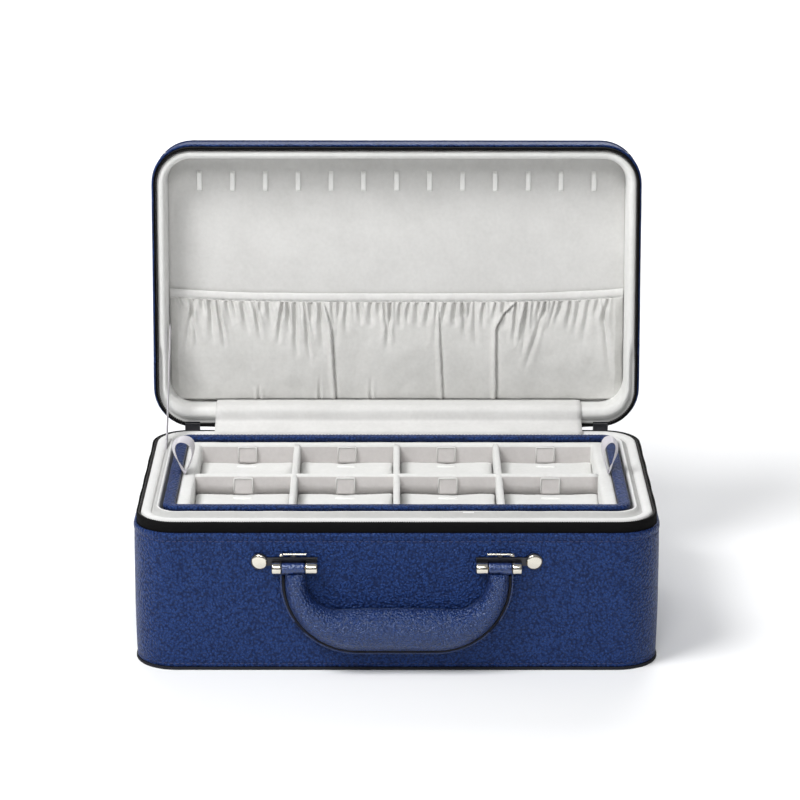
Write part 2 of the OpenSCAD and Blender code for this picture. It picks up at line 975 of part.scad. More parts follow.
module at_left_corner() {
    mirror([1, 0, 0])
        at_right_corner()
            children();
}

module slider_right() {
    at_right_corner()
        slider();
}

module slider_left() {
    at_left_corner()
        slider();
}

module pull_tab_right() {
    at_right_corner()
        pull_tab();
}

module pull_tab_left() {
    at_left_corner()
        pull_tab();
}

base_bottom_panel();
base_leather();
base_board();
base_rim_lining();
base_inner_liner();
lower_liner();
base_floor_pad();
base_zip_tape();
base_zip_coil();
zip_end_stops();
hinge_strip();
hinge_cover();
lid_stay_ribbon();
bracket_left();
bracket_right();
bracket_pin_left();
bracket_pin_right();
bracket_rivets();
rivet_washers();
lid_leather();
lid_top_panel();
lid_board();
lid_rim_lining();
lid_inner_panel();
lid_zip_tape();
lid_zip_coil();
necklace_loops();
lid_pocket();
pocket_hem();
pocket_elastic();
tray_leather();
tray_board();
tray_bottom_cover();
tray_liner();
long_divider();
cross_divider_left();
cross_divider_middle();
cross_divider_right();
for (i = cell_ids)
    cell_cushion(i);
cell_back_tabs();
cell_floor_tabs();
pull_ribbon_left();
pull_ribbon_right();
handle_strap();
handle_cover();
handle_filler();
slider_left();
slider_right();
pull_tab_left();
pull_tab_right();
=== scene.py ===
import json
import math

import bmesh
import bpy
import numpy as np
from mathutils import Matrix, Vector, noise


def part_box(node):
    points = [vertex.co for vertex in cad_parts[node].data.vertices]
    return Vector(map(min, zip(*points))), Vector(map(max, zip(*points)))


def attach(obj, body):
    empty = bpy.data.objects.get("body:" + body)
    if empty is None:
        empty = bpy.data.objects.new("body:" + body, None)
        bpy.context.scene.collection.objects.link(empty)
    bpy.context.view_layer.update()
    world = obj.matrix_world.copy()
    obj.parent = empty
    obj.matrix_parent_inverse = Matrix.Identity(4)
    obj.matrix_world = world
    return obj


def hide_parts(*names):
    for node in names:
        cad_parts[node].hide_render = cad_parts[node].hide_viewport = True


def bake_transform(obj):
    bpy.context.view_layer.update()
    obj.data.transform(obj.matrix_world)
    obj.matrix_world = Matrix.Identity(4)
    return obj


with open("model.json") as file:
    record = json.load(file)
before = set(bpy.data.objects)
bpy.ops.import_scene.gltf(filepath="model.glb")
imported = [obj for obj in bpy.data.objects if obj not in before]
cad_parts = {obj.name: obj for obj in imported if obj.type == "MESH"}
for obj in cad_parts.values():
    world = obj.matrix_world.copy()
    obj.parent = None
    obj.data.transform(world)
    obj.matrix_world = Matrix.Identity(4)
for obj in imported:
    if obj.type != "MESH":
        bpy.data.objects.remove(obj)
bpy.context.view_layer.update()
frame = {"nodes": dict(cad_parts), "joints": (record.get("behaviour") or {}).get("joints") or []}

MM = 0.001
LEAST_CORNER = 0.2 * MM

# ---------- sizes taken from the frame ----------

JOINTS = {j["name"]: j for j in frame["joints"]}


def low(node):
    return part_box(node)[0]


def high(node):
    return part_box(node)[1]


HALF_W = high("base_leather").x
HALF_D = high("base_leather").y
BASE_TOP = high("base_leather").z
HINGE_Y, ZIP_Z = JOINTS["lid_hinge"]["pos_m"][1:]
LID_ANGLE = math.radians(-JOINTS["lid_hinge"]["range_deg"][0])
CORNER_X, CORNER_Y = JOINTS["right_slider_travel"]["pos_m"][:2]
CORNER_R = HALF_W - CORNER_X
HINGE_HALF = high("hinge_strip").x
SWING = (
    Matrix.Translation((0, HINGE_Y, ZIP_Z))
    @ Matrix.Rotation(-LID_ANGLE, 4, "X")
    @ Matrix.Translation((0, -HINGE_Y, -ZIP_Z))
)
UNSWING = SWING.inverted()


def inset_of(node):
    """How far a node's side lies inside the case's side."""
    return HALF_W - high(node).x


def lid_box(node):
    """A lid node's box with the lid shut, with z as the depth behind the middle of the zip."""
    points = np.array([UNSWING @ v.co for v in frame["nodes"][node].data.vertices])
    points[:, 2] -= ZIP_Z
    return points.min(0), points.max(0)


def to_lid(points):
    """Shut-lid places, with z as the depth behind the zip, moved to the open lid."""
    m = np.array(SWING)
    p = np.array(points, float).reshape(-1, 3) + [0, 0, ZIP_Z]
    return p @ m[:3, :3].T + m[:3, 3]


# ---------- mesh tools ----------


def ripple(points, amount, scale, seed=0):
    """A smooth, repeatable random number between -amount and amount at each point."""
    shift = Vector((7.3 * seed, -3.1 * seed, 5.7 * seed))
    return np.array([noise.noise(Vector(p) / scale + shift) for p in points]) * amount


def piece(name, verts, faces, material, body=None, stands_for=(), slot=None, solid=True):
    """A smooth-shaded mesh object that rides a body and may stand in for CAD nodes."""
    mesh = bpy.data.meshes.new(name)
    mesh.from_pydata([tuple(v) for v in np.asarray(verts, float).reshape(-1, 3)], [], faces)
    mesh.materials.append(material)
    work = bmesh.new()
    work.from_mesh(mesh)
    if solid:
        bmesh.ops.recalc_face_normals(work, faces=work.faces)
    for face in work.faces:
        face.smooth = True
    work.to_mesh(mesh)
    work.free()
    obj = bpy.data.objects.new(name, mesh)
    bpy.context.scene.collection.objects.link(obj)
    if body:
        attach(obj, body)
    if stands_for:
        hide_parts(*stands_for)
    return obj


def paint(obj, material, test):
    """Gives a second material to the faces whose middle and direction pass a test."""
    obj.data.materials.append(material)
    for face in obj.data.polygons:
        if test(face.center, face.normal):
            face.material_index = 1


def grid_faces(rows, columns, close_rows=False, close_columns=False):
    """Quads over rows of points, joined round in either direction if asked."""
    faces = []
    for i in range(rows if close_rows else rows - 1):
        for j in range(columns if close_columns else columns - 1):
            a, b = i * columns + j, i * columns + (j + 1) % columns
            c, d = ((i + 1) % rows) * columns + (j + 1) % columns, ((i + 1) % rows) * columns + j
            faces.append((a, b, c, d))
    return faces


def rim_faces(rows, columns, count):
    """Faces that join the borders of two equal grids lying one behind the other."""
    border = list(range(columns + 1)) + [(j + 1) * (columns + 1) - 1 for j in range(1, rows + 1)]
    border += [count - 1 - i for i in range(1, columns + 1)]
    border += [(rows - j) * (columns + 1) for j in range(1, rows)]
    return [(a, b, b + count, a + count) for a, b in zip(border, border[1:] + border[:1])]


def loft(rings, caps=False, close=False):
    """Skin over rings of points, each ring closed on itself."""
    rings = [np.asarray(r, float) for r in rings]
    columns = len(rings[0])
    faces = grid_faces(len(rings), columns, close, True)
    if caps:
        faces.append(tuple(range(columns))[::-1])
        faces.append(tuple((len(rings) - 1) * columns + j for j in range(columns)))
    return np.vstack(rings), faces


def merge(parts):
    """Several (verts, faces) as one."""
    verts, faces, count = [], [], 0
    for v, f in parts:
        verts.append(np.asarray(v, float).reshape(-1, 3))
        faces += [tuple(i + count for i in face) for face in f]
        count += len(verts[-1])
    return np.vstack(verts), faces


def between(a, b, share):
    """Sizes part of the way from one set to another."""
    return [p + (q - p) * share for p, q in zip(a, b)]


def ring(half_w, half_d, r, z, y0=0.0, arc=10, across=20, along=12):
    """Points round a rectangle with round corners, clockwise from above from the middle of the back."""
    r = max(r, LEAST_CORNER)
    points = []

    def straight(a, b, count):
        for i in range(count):
            points.append(a + (b - a) * i / count)

    def corner(x, y, start):
        for i in range(arc):
            angle = math.radians(start - 90 * i / arc)
            points.append(np.array([x + r * math.cos(angle), y + r * math.sin(angle), 0]))

    x, y = half_w - r, half_d - r
    straight(np.array([0, half_d, 0]), np.array([x, half_d, 0]), across)
    corner(x, y, 90)
    straight(np.array([half_w, y, 0]), np.array([half_w, -y, 0]), 2 * along)
    corner(x, -y, 0)
    straight(np.array([x, -half_d, 0]), np.array([-x, -half_d, 0]), 2 * across)
    corner(-x, -y, -90)
    straight(np.array([-half_w, -y, 0]), np.array([-half_w, y, 0]), 2 * along)
    corner(-x, y, 180)
    straight(np.array([-x, half_d, 0]), np.array([0, half_d, 0]), across)
    return np.array(points) + [0, y0, z]


def case_ring(inset, z):
    """A ring that follows the case's side at an inset."""
    return ring(HALF_W - inset, HALF_D - inset, CORNER_R - inset, z)


def bend(points, count=8):
    """A smooth line through a few corners: each corner is rounded by a curve between its edges' middles."""
    points = [np.array(p, float) for p in points]
    out = [points[0]]
    for i in range(1, len(points) - 1):
        a, b, c = (points[i - 1] + points[i]) / 2, points[i], (points[i] + points[i + 1]) / 2
        for k in range(count + 1 if i == len(points) - 2 else count):
            t = k / count
            out.append((1 - t) ** 2 * a + 2 * t * (1 - t) * b + t * t * c)
    return np.array(out + [points[-1]])


def fillet(points, radii, count=5):
    """An outline in two dimensions with each inner corner rounded by its radius."""
    points = [np.array(p, float) for p in points]
    out = [points[0]]
    for i in range(1, len(points) - 1):
        before, after = points[i - 1] - points[i], points[i + 1] - points[i]
        r = min(radii[i - 1], 0.49 * np.linalg.norm(before), 0.49 * np.linalg.norm(after))
        a = points[i] + before / np.linalg.norm(before) * r
        c = points[i] + after / np.linalg.norm(after) * r
        for k in range(count + 1):
            t = k / count
            out.append((1 - t) ** 2 * a + 2 * t * (1 - t) * points[i] + t * t * c)
    return np.array(out + [points[-1]])


def tube(line, radius, sides=6):
    """A round cord along a line of points."""
    line = np.asarray(line, float)
    tangent = np.gradient(line, axis=0)
    tangent /= np.linalg.norm(tangent, axis=1)[:, None]
    up = np.cross(tangent[0], [0.31, 0.87, 0.38])
    rings = []
    for p, t in zip(line, tangent):
        up = up - t * (up @ t)
        up /= np.linalg.norm(up)
        side = np.cross(t, up)
        turn = [2 * math.pi * k / sides for k in range(sides)]
        rings.append([p + radius * (math.cos(a) * up + math.sin(a) * side) for a in turn])
    return loft(rings, caps=True)


def ribbon(line, across, half_width, thickness):
    """A flat strip along a line of points: across is its width direction, its corners are round."""
    line = np.asarray(line, float)
    tangent = np.gradient(line, axis=0)
    tangent /= np.linalg.norm(tangent, axis=1)[:, None]
    across = np.broadcast_to(np.asarray(across, float), line.shape)
    up = np.cross(tangent, across)
    up /= np.linalg.norm(up, axis=1)[:, None]
    half_width = np.broadcast_to(half_width, len(line))
    section = []
    for side, start in ((1, -90), (-1, 90)):
        for k in range(4):
            a = math.radians(start + 60 * k)
            section.append((side, math.cos(a) * thickness / 2, math.sin(a) * thickness / 2))
        for share in (0.6, 0.2, -0.2, -0.6):
            section.append((side * share, 0.0, side * thickness / 2))
    rings = []
    for p, s, u, w in zip(line, across, up, half_width):
        rings.append([p + s * (w * k + out) + u * rise for k, out, rise in section])
    return loft(rings, caps=True)


def track(inset, s):
    """Place and outward direction on the case's outline, a distance s clockwise from the back's middle."""
    r = CORNER_R - inset
    half_w, half_d = HALF_W - inset, HALF_D - inset
    quarter = math.pi * r / 2
    legs = [
        (CORNER_X, (0, half_d), (1, 0)),
        (quarter, (CORNER_X, CORNER_Y), 90),
        (2 * CORNER_Y, (half_w, CORNER_Y), (0, -1)),
        (quarter, (CORNER_X, -CORNER_Y), 0),
        (2 * CORNER_X, (CORNER_X, -half_d), (-1, 0)),
        (quarter, (-CORNER_X, -CORNER_Y), -90),
        (2 * CORNER_Y, (-half_w, -CORNER_Y), (0, 1)),
        (quarter, (-CORNER_X, CORNER_Y), 180),
        (CORNER_X, (-CORNER_X, half_d), (1, 0)),
    ]
    for number, (length, start, way) in enumerate(legs):
        if s <= length or number == len(legs) - 1:
            if isinstance(way, tuple):
                place = (start[0] + way[0] * s, start[1] + way[1] * s, 0)
                return np.array(place), np.array([-way[1], way[0], 0.0])
            angle = math.radians(way) - s / r
            out = np.array([math.cos(angle), math.sin(angle), 0])
            return np.array([start[0], start[1], 0]) + out * r, out
        s -= length


def track_length(inset):
    """The length of the case's outline at an inset."""
    return 4 * (CORNER_X + CORNER_Y) + 2 * math.pi * (CORNER_R - inset)


def track_start(inset, x):
    """Distance along the outline from the middle of the back to where it reaches x."""
    if x <= CORNER_X:
        return x
    r = CORNER_R - inset
    return CORNER_X + r * math.asin((x - CORNER_X) / r)


def stitches(places, length, radius):
    """Short round stitches, each at (place, way it runs, way out)."""
    body, sides = [], 6
    for along, share in ((-0.5, 0.35), (-0.32, 0.95), (0, 1.1), (0.32, 0.95), (0.5, 0.35)):
        for k in range(sides):
            a = 2 * math.pi * k / sides
            body.append((along * length, radius * share * math.cos(a), radius * share * math.sin(a)))
    body = np.array(body)
    count = len(body)
    faces = grid_faces(count // sides, sides, False, True)
    faces += [tuple(range(sides))[::-1], tuple(range(count - sides, count))]
    parts = []
    for place, way, out in places:
        side = np.cross(way, out)
        parts.append((place + body[:, :1] * way + body[:, 1:2] * out + body[:, 2:] * side, faces))
    return merge(parts)


def outline_stitches(inset, z):
    """A row of stitches all round the case at a height."""
    pitch, length, radius = 3.4 * MM, 2.5 * MM, 0.27 * MM
    count = int(track_length(inset) / pitch)
    places = []
    for k in range(count):
        place, out = track(inset, (k + 0.5) * track_length(inset) / count)
        way = np.array([out[1], -out[0], 0])
        places.append((place + [0, 0, z], way, out))
    return stitches(places, length, radius)


# ---------- materials ----------


class Shader:
    """A material's node tree, with short ways to add and join nodes."""

    def __init__(self, name):
        self.material = bpy.data.materials.new(name)
        self.material.use_nodes = True
        self.tree = self.material.node_tree
        self.surface = self.tree.nodes["Principled BSDF"]
        coordinates = self.tree.nodes.new("ShaderNodeTexCoord")
        self.place = coordinates.outputs["Object"]

    def join(self, a, b):
        self.tree.links.new(a, b)

    def node(self, kind, inputs=None, **settings):
        made = self.tree.nodes.new(kind)
        for key, value in settings.items():
            setattr(made, key, value)
        for key, value in (inputs or {}).items():
            if isinstance(value, bpy.types.NodeSocket):
                self.join(value, made.inputs[key])
            else:
                made.inputs[key].default_value = value
        return made

    def set(self, **values):
        for key, value in values.items():
            self.surface.inputs[key.replace("_", " ")].default_value = value

    def noise(self, scale, detail=2.0, rough=0.5, place=None):
        inputs = {"Vector": place or self.place, "Scale": scale, "Detail": detail, "Roughness": rough}
        return self.node("ShaderNodeTexNoise", inputs).outputs["Fac"]

    def cells(self, scale, feature="DISTANCE_TO_EDGE"):
        inputs = {"Vector": self.place, "Scale": scale}
        return self.node("ShaderNodeTexVoronoi", inputs, feature=feature).outputs["Distance"]

    def math(self, operation, a, b=0.5):
        return self.node("ShaderNodeMath", {0: a, 1: b}, operation=operation).outputs[0]

    def total(self, *parts):
        """The sum of some values, each (value, share)."""
        out = None
        for value, share in parts:
            term = value if share == 1 else self.math("MULTIPLY", value, share)
            out = term if out is None else self.math("ADD", out, term)
        return out

    def span(self, value, a, b, c, d):
        inputs = {"Value": value, "From Min": a, "From Max": b, "To Min": c, "To Max": d}
        return self.node("ShaderNodeMapRange", inputs).outputs["Result"]

    def mix(self, share, a, b):
        made = self.node("ShaderNodeMix", data_type="RGBA")
        self.join(share, made.inputs["Factor"])
        for key, value in ((6, a), (7, b)):
            if isinstance(value, bpy.types.NodeSocket):
                self.join(value, made.inputs[key])
            else:
                made.inputs[key].default_value = (*value, 1)
        return made.outputs[2]

    def bump(self, height, strength, distance, before=None):
        inputs = {"Height": height, "Strength": strength, "Distance": distance}
        if before:
            inputs["Normal"] = before
        return self.node("ShaderNodeBump", inputs).outputs["Normal"]

    def finish(self, colour, rough=None, normal=None):
        self.join(colour, self.surface.inputs["Base Color"])
        if rough:
            self.join(rough, self.surface.inputs["Roughness"])
        if normal:
            self.join(normal, self.surface.inputs["Normal"])
        return self.material


def leather(name, deep, pale, grain=700.0, bump=1.0, gloss=0.5, coat=0.0, rough=(0.5, 0.34)):
    """Pebbled leather: rounded grains with darker, duller creases, patches of tone and fine pores."""
    s = Shader(name)
    warp = s.noise(240, 3)
    large = s.span(s.cells(grain, "F1"), 0.05, 0.8, 1.0, 0.0)
    small = s.span(s.cells(grain * 1.7, "F1"), 0.1, 0.8, 1.0, 0.0)
    pebble = s.total((large, 0.7), (small, 0.3))
    pores = s.noise(3200, 2)
    patches = s.noise(45, 4, 0.6)
    tone = s.total((pebble, 0.75), (patches, 0.1), (warp, 0.03))
    colour = s.mix(s.span(tone, 0.18, 0.72, 0.0, 1.0), deep, pale)
    height = s.total((pebble, 1), (pores, 0.08), (warp, 0.12))
    dull = s.span(s.total((pebble, 1), (patches, 1)), 0.4, 1.4, *rough)
    s.set(Specular_IOR_Level=gloss, Specular_Tint=(0.42, 0.6, 1.0, 1.0), Coat_Weight=coat,
        Coat_Roughness=0.2)
    normal = s.bump(height, bump, 0.0008)
    s.join(normal, s.surface.inputs["Coat Normal"])
    return s.finish(colour, dull, normal)


def napped(name, deep, pale, sheen=0.35):
    """Short napped microfibre: brushed patches, a fine pile and a soft edge sheen."""
    s = Shader(name)
    brushed = s.noise(38, 4, 0.62)
    pile = s.noise(1500, 3, 0.7)
    weave = s.noise(420, 2)
    tone = s.total((brushed, 0.7), (weave, 0.35))
    colour = s.mix(s.span(tone, 0.3, 0.75, 0.0, 1.0), deep, pale)
    height = s.total((pile, 0.7), (weave, 0.6))
    s.set(Sheen_Weight=sheen, Sheen_Roughness=0.45, Specular_IOR_Level=0.12)
    return s.finish(colour, s.span(pile, 0.3, 0.7, 0.86, 0.98), s.bump(height, 0.5, 0.00018))


def woven(name, deep, pale, pitch):
    """A plain weave: two sets of crossing threads."""
    s = Shader(name)
    threads = []
    for way in ("X", "Z"):
        inputs = {"Vector": s.place, "Scale": 1 / pitch, "Distortion": 0.4}
        wave = s.node("ShaderNodeTexWave", inputs, wave_type="BANDS", bands_direction=way)
        threads.append(wave.outputs["Fac"])
    height = s.math("MULTIPLY", threads[0], threads[1])
    stain = s.noise(90, 3)
    tone = s.total((height, 0.7), (stain, 0.4))
    s.set(Specular_IOR_Level=0.12)
    dull = s.span(stain, 0.3, 0.7, 0.74, 0.86)
    return s.finish(s.mix(tone, deep, pale), dull, s.bump(height, 0.8, 0.00012))


def satin(name, deep, pale):
    """Satin ribbon: fine ribs across it with a soft gloss."""
    s = Shader(name)
    inputs = {"Vector": s.place, "Scale": 900.0, "Distortion": 0.6}
    ribs = s.node("ShaderNodeTexWave", inputs, wave_type="BANDS", bands_direction="Z").outputs["Fac"]
    soft = s.noise(120, 3)
    tone = s.total((ribs, 0.3), (soft, 0.7))
    s.set(Specular_IOR_Level=0.6, Sheen_Weight=0.3)
    return s.finish(s.mix(tone, deep, pale), s.span(soft, 0.3, 0.7, 0.3, 0.42), s.bump(ribs, 0.35, 0.00006))


def metal(name, colour, dark, rough):
    """Plated metal with faint polishing marks and slightly duller patches."""
    s = Shader(name)
    marks = s.node("ShaderNodeMapping", {"Vector": s.place, "Scale": (1, 1, 14)}).outputs[0]
    lines = s.noise(700, 3, 0.6, marks)
    dull = s.noise(160, 3)
    s.set(Metallic=1.0)
    normal = s.bump(lines, 0.12, 0.00003)
    return s.finish(s.mix(dull, dark, colour), s.span(dull, 0.3, 0.75, rough, rough + 0.14), normal)


def plain_stuff(name, deep, pale, scale, rough=0.85):
    """Board, felt or nylon: mottled, with a fine tooth."""
    s = Shader(name)
    flecks = s.noise(scale, 5, 0.65)
    tooth = s.noise(scale * 6, 2)
    return s.finish(
        s.mix(s.span(flecks, 0.3, 0.7, 0, 1), deep, pale),
        s.span(tooth, 0.3, 0.7, rough - 0.08, rough + 0.06),
        s.bump(tooth, 0.4, 0.0001),
    )


def thread(name, deep, pale):
    """Twisted sewing thread."""
    s = Shader(name)
    inputs = {"Vector": s.place, "Scale": 2600.0, "Distortion": 1.0}
    twist = s.node("ShaderNodeTexWave", inputs, wave_type="BANDS", bands_direction="DIAGONAL")
    twist = twist.outputs["Fac"]
    s.set(Specular_IOR_Level=0.4)
    return s.finish(s.mix(twist, deep, pale), s.span(twist, 0, 1, 0.6, 0.5), s.bump(twist, 0.6, 0.00005))


BLUE = leather("blue_leather", (0.0015, 0.007, 0.05), (0.018, 0.055, 0.225))
# darker leather for the lid's top panel, and painted shade on the tray's sides and the handle strap's inner
# edge
DARK_BLUE_AND_SHADE = leather("dark_leather", (0.0015, 0.004, 0.026), (0.006, 0.016, 0.075), 700, 0.6)
LOOP_BLUE = leather("strap_leather", (0.002, 0.01, 0.065), (0.016, 0.045, 0.2), 900, 0.4, 0.9, 0.9,
    (0.36, 0.24))
GRIP_BLUE = leather("grip_leather", (0.001, 0.008, 0.058), (0.016, 0.048, 0.2), 760, 1.1, 0.8, 0.5,
    (0.4, 0.24))
# near-black leather edges: partly edge paint, partly painted shade at the base's foot and in the handle's
# groove
EDGE_PAINT_AND_SHADE = plain_stuff("painted_edge", (0.001, 0.001, 0.004), (0.003, 0.004, 0.012), 700, 0.85)
WHITE = napped("white_lining", (0.72, 0.72, 0.70), (0.82, 0.82, 0.805))
PANEL = napped("panel_lining", (0.60, 0.595, 0.58), (0.70, 0.695, 0.68), 0.2)
LINING = napped("hem_cloth", (0.66, 0.655, 0.64), (0.77, 0.765, 0.75), 0.2)
# greyer cloth for walls that face front or back: painted shade
WALL_SHADE = napped("wall_lining", (0.56, 0.535, 0.525), (0.66, 0.635, 0.625), 0.2)
POCKET = napped("pocket_cloth", (0.58, 0.575, 0.555), (0.70, 0.695, 0.675), 0.2)
SATIN = satin("satin_ribbon", (0.50, 0.48, 0.53), (0.72, 0.70, 0.73))
LOOP = napped("loop_ribbon", (0.86, 0.86, 0.84), (0.93, 0.93, 0.91), 0.2)
# darker cloth for the base rim's valley: painted shade
VALLEY_SHADE = napped("valley_cloth", (0.47, 0.47, 0.46), (0.55, 0.55, 0.54), 0.1)
RIM = napped("rim_cloth", (0.70, 0.70, 0.69), (0.78, 0.78, 0.77), 0.2)
TAPE = woven("zip_tape", (0.0015, 0.0015, 0.0018), (0.007, 0.0065, 0.0068), 0.0011)
COIL = plain_stuff("zip_coil", (0.002, 0.002, 0.0022), (0.035, 0.031, 0.03), 900, 0.4)
NICKEL = metal("nickel", (0.84, 0.80, 0.70), (0.66, 0.62, 0.54), 0.1)
# dark nickel: blackened sliders and pulls, and painted shade and dark reflection on the bracket plates
BLACKENED_AND_SHADED_NICKEL = metal("shaded_nickel", (0.09, 0.09, 0.10), (0.03, 0.03, 0.035), 0.3)
BRASS = metal("brass", (0.78, 0.60, 0.28), (0.56, 0.40, 0.16), 0.2)
BOARD = plain_stuff("fibreboard", (0.30, 0.22, 0.13), (0.46, 0.35, 0.22), 500)
FELT = plain_stuff("felt", (0.36, 0.31, 0.24), (0.5, 0.44, 0.35), 800, 0.95)
ELASTIC = woven("elastic", (0.6, 0.6, 0.58), (0.82, 0.82, 0.8), 0.0012)
NAVY_THREAD = thread("navy_thread", (0.012, 0.018, 0.07), (0.05, 0.07, 0.2))
WHITE_THREAD = thread("white_thread", (0.55, 0.55, 0.53), (0.8, 0.8, 0.78))

# ---------- camera, light and floor ----------


def camera():
    """The photograph's view: a long lens, a little above the case."""
    data = bpy.data.cameras.new("camera")
    data.sensor_width = 36
    data.lens = 137.0
    data.clip_end = 20
    obj = bpy.data.objects.new("camera", data)
    bpy.context.scene.collection.objects.link(obj)
    pitch, yaw, roll = math.radians(17.05), math.radians(-0.135), math.radians(0.06)
    obj.matrix_world = (
        Matrix.Translation((-0.0021, -1.7095, 0.659))
        @ Matrix.Rotation(yaw, 4, "Z")
        @ Matrix.Rotation(math.pi / 2 - pitch, 4, "X")
        @ Matrix.Rotation(roll, 4, "Z")
    )
    bpy.context.scene.camera = obj


def area_light(name, place, aim, size, power):
    """A round soft light of a given diameter, aimed at a point."""
    data = bpy.data.lights.new(name, "AREA")
    data.shape = "DISK"
    data.size, data.energy = size, power
    obj = bpy.data.objects.new(name, data)
    bpy.context.scene.collection.objects.link(obj)
    obj.location = place
    obj.rotation_mode = "QUATERNION"
    obj.rotation_quaternion = (Vector(aim) - Vector(place)).to_track_quat("-Z", "Y")


def studio():
    """A pale sky that is brighter above, four soft lights and a white floor."""
    scene = bpy.context.scene
    scene.view_settings.view_transform = "Standard"
    world = bpy.data.worlds.new("studio")
    scene.world = world
    world.use_nodes = True
    tree = world.node_tree
    background = tree.nodes["Background"]
    way = tree.nodes.new("ShaderNodeTexCoord")
    parts = tree.nodes.new("ShaderNodeSeparateXYZ")
    tree.links.new(way.outputs["Generated"], parts.inputs[0])
    tilt = tree.nodes.new("ShaderNodeMath")
    tilt.operation = "MULTIPLY_ADD"
    tree.links.new(parts.outputs["Y"], tilt.inputs[0])
    tilt.inputs[1].default_value = 0.35
    tree.links.new(parts.outputs["Z"], tilt.inputs[2])
    ramp = tree.nodes.new("ShaderNodeMapRange")
    for key, value in (("From Min", -0.3), ("From Max", 0.9), ("To Min", 0.10), ("To Max", 0.32)):
        ramp.inputs[key].default_value = value
    tree.links.new(tilt.outputs[0], ramp.inputs["Value"])
    background.inputs["Color"].default_value = (0.98, 0.985, 1.0, 1)
    tree.links.new(ramp.outputs["Result"], background.inputs["Strength"])
    area_light("key", (-0.75, -0.6, 1.42), (0, 0, 0.08), 0.7, 21)
    area_light("front", (-0.1, -1.4, 1.36), (0, 0, 0.08), 0.6, 9)
    area_light("back", (0.4, 1.5, 1.0), (0, 0.2, 0.1), 0.8, 5)
    area_light("wash", (0, 2.7, 1.6), (0, 2.7, 0), 3.0, 60)
    s = Shader("floor")
    tone = s.noise(6, 3)
    floor_material = s.finish(s.mix(tone, (0.945, 0.95, 0.955), (0.955, 0.96, 0.965)))
    s.set(Roughness=0.7, Specular_IOR_Level=0.2)
    points = [(-6, -5, 0), (6, -5, 0), (6, 9, 0), (-6, 9, 0)]
    floor = piece("floor", points, [(0, 1, 2, 3)], floor_material, solid=False)


camera()
studio()

# ---------- base ----------


def wall_rings(edge, foot, thick, stitch, sign=1):
    """Leather wall from its foot to a turned-in edge, with a pressed line where it is sewn."""
    up, rows = sign * MM, 10
    # insets and distances from the foot, the line of stitches and the edge, in mm
    at_foot = [(0.4, 0), (0, 0.5), (0.12, 1.6), (0.3, 2.1), (0.05, 2.8), (0, 4.5)]
    at_stitch = [(0.06, -0.5), (0.32, 0), (0.02, 0.6), (-0.2, 1.6)]
    at_edge = [(-0.42, -2), (-0.42, -1.2), (-0.2, -0.5), (0.1, -0.12)]
    start, end = foot + 4.5 * up, stitch - 1.2 * up
    profile = [(inset * MM, foot + z * up) for inset, z in at_foot]
    profile += [(0.0, start + (end - start) * k / rows) for k in range(1, rows + 1)]
    profile += [(inset * MM, stitch + z * up) for inset, z in at_stitch]
    profile += [(inset * MM, edge + z * up) for inset, z in at_edge]
    profile += [(thick / 2, edge), (thick - 0.2 * MM, edge - 0.12 * up)]
    profile += [(thick, edge - 0.5 * up), (thick, edge - 9 * up), (thick, foot)]
    return [case_ring(inset, z) for inset, z in profile]


def wavy(verts, amount, scale, seed=0):
    """Moves points in and out of the case's side a little, as hand-made covering does."""
    verts = np.array(verts)
    shift = ripple(verts, amount, scale, seed)
    reach = np.stack([verts[:, 0] / HALF_W, verts[:, 1] / HALF_D], 1)
    reach = np.sign(reach) * np.abs(reach) ** 6
    reach /= np.maximum(np.linalg.norm(reach, axis=1), 1e-6)[:, None]
    verts[:, :2] += reach * shift[:, None]
    return verts


def fullness(z, foot, top):
    """How far the padded side walls swell outwards at a height."""
    return 0.65 * MM * np.clip(np.sin(np.pi * (z - foot) / (top - foot)), 0, 1) ** 0.6


def base_shell():
    """The base's leather wall and its two rows of stitches."""
    foot = low("base_leather").z
    stitch = BASE_TOP - 5 * MM
    thick = 1.2 * MM
    verts, faces = loft(wall_rings(BASE_TOP, foot, thick, stitch), close=True)
    verts = wavy(verts, 0.14 * MM, 0.03)
    at_end = np.abs(verts[:, 0]) > CORNER_X
    verts[:, 0] += np.sign(verts[:, 0]) * fullness(verts[:, 2], foot, BASE_TOP) * at_end
    piece("base_leather_cover", verts, faces, BLUE, "base", ["base_leather"], "blue_leather")
    rows = [
        outline_stitches(0.12 * MM, stitch),
        outline_stitches(0.12 * MM, foot + 2.1 * MM),
    ]
    piece("base_stitching", *merge(rows), NAVY_THREAD, "base", slot="blue_leather")


def plate(name, half_w, half_d, r, z0, z1, material, body, node, place):
    """A leather-covered plate with round edges and a slightly full top."""
    rings = []
    steps = [(0.5, 0.0), (0.12, 0.0), (0.0, 0.25), (0.0, 0.75), (0.12, 1.0), (0.5, 1.0), (3.0, 1.04)]
    for inset, share in steps:
        inset *= MM
        rings.append(ring(half_w - inset, half_d - inset, r - inset, z0 + (z1 - z0) * share))
    for share in (0.8, 0.55, 0.3, 0.1):
        rings.append(ring(half_w * share, half_d * share, r * share, z1 + 0.04 * (z1 - z0)))
    verts, faces = loft(rings, caps=True)
    piece(name, place(verts), faces, material, body, [node], "dark_leather")


def base_bottom():
    """The bottom panel, its fuller side down and its edge standing a little proud; its near-black is partly
    edge paint and partly painted contact shade at the foot.
    """
    bottom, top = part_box("base_bottom_panel")
    flip = lambda v: np.stack([v[:, 0], v[:, 1], bottom.z + top.z - v[:, 2]], 1)
    plate(
        "base_bottom_leather", top.x, top.y, CORNER_R + top.x - HALF_W, bottom.z + 0.02 * MM, top.z,
        EDGE_PAINT_AND_SHADE, "base", "base_bottom_panel", flip,
    )


def rim_pad(name, rings, seed, material, node, slot):
    """A padded band of the base's lining."""
    verts, faces = loft(rings)
    verts[:, 2] += ripple(verts, 0.16 * MM, 0.011, seed)
    pad = piece(name, verts, faces, material, "base", [node], slot, solid=False)
    return pad


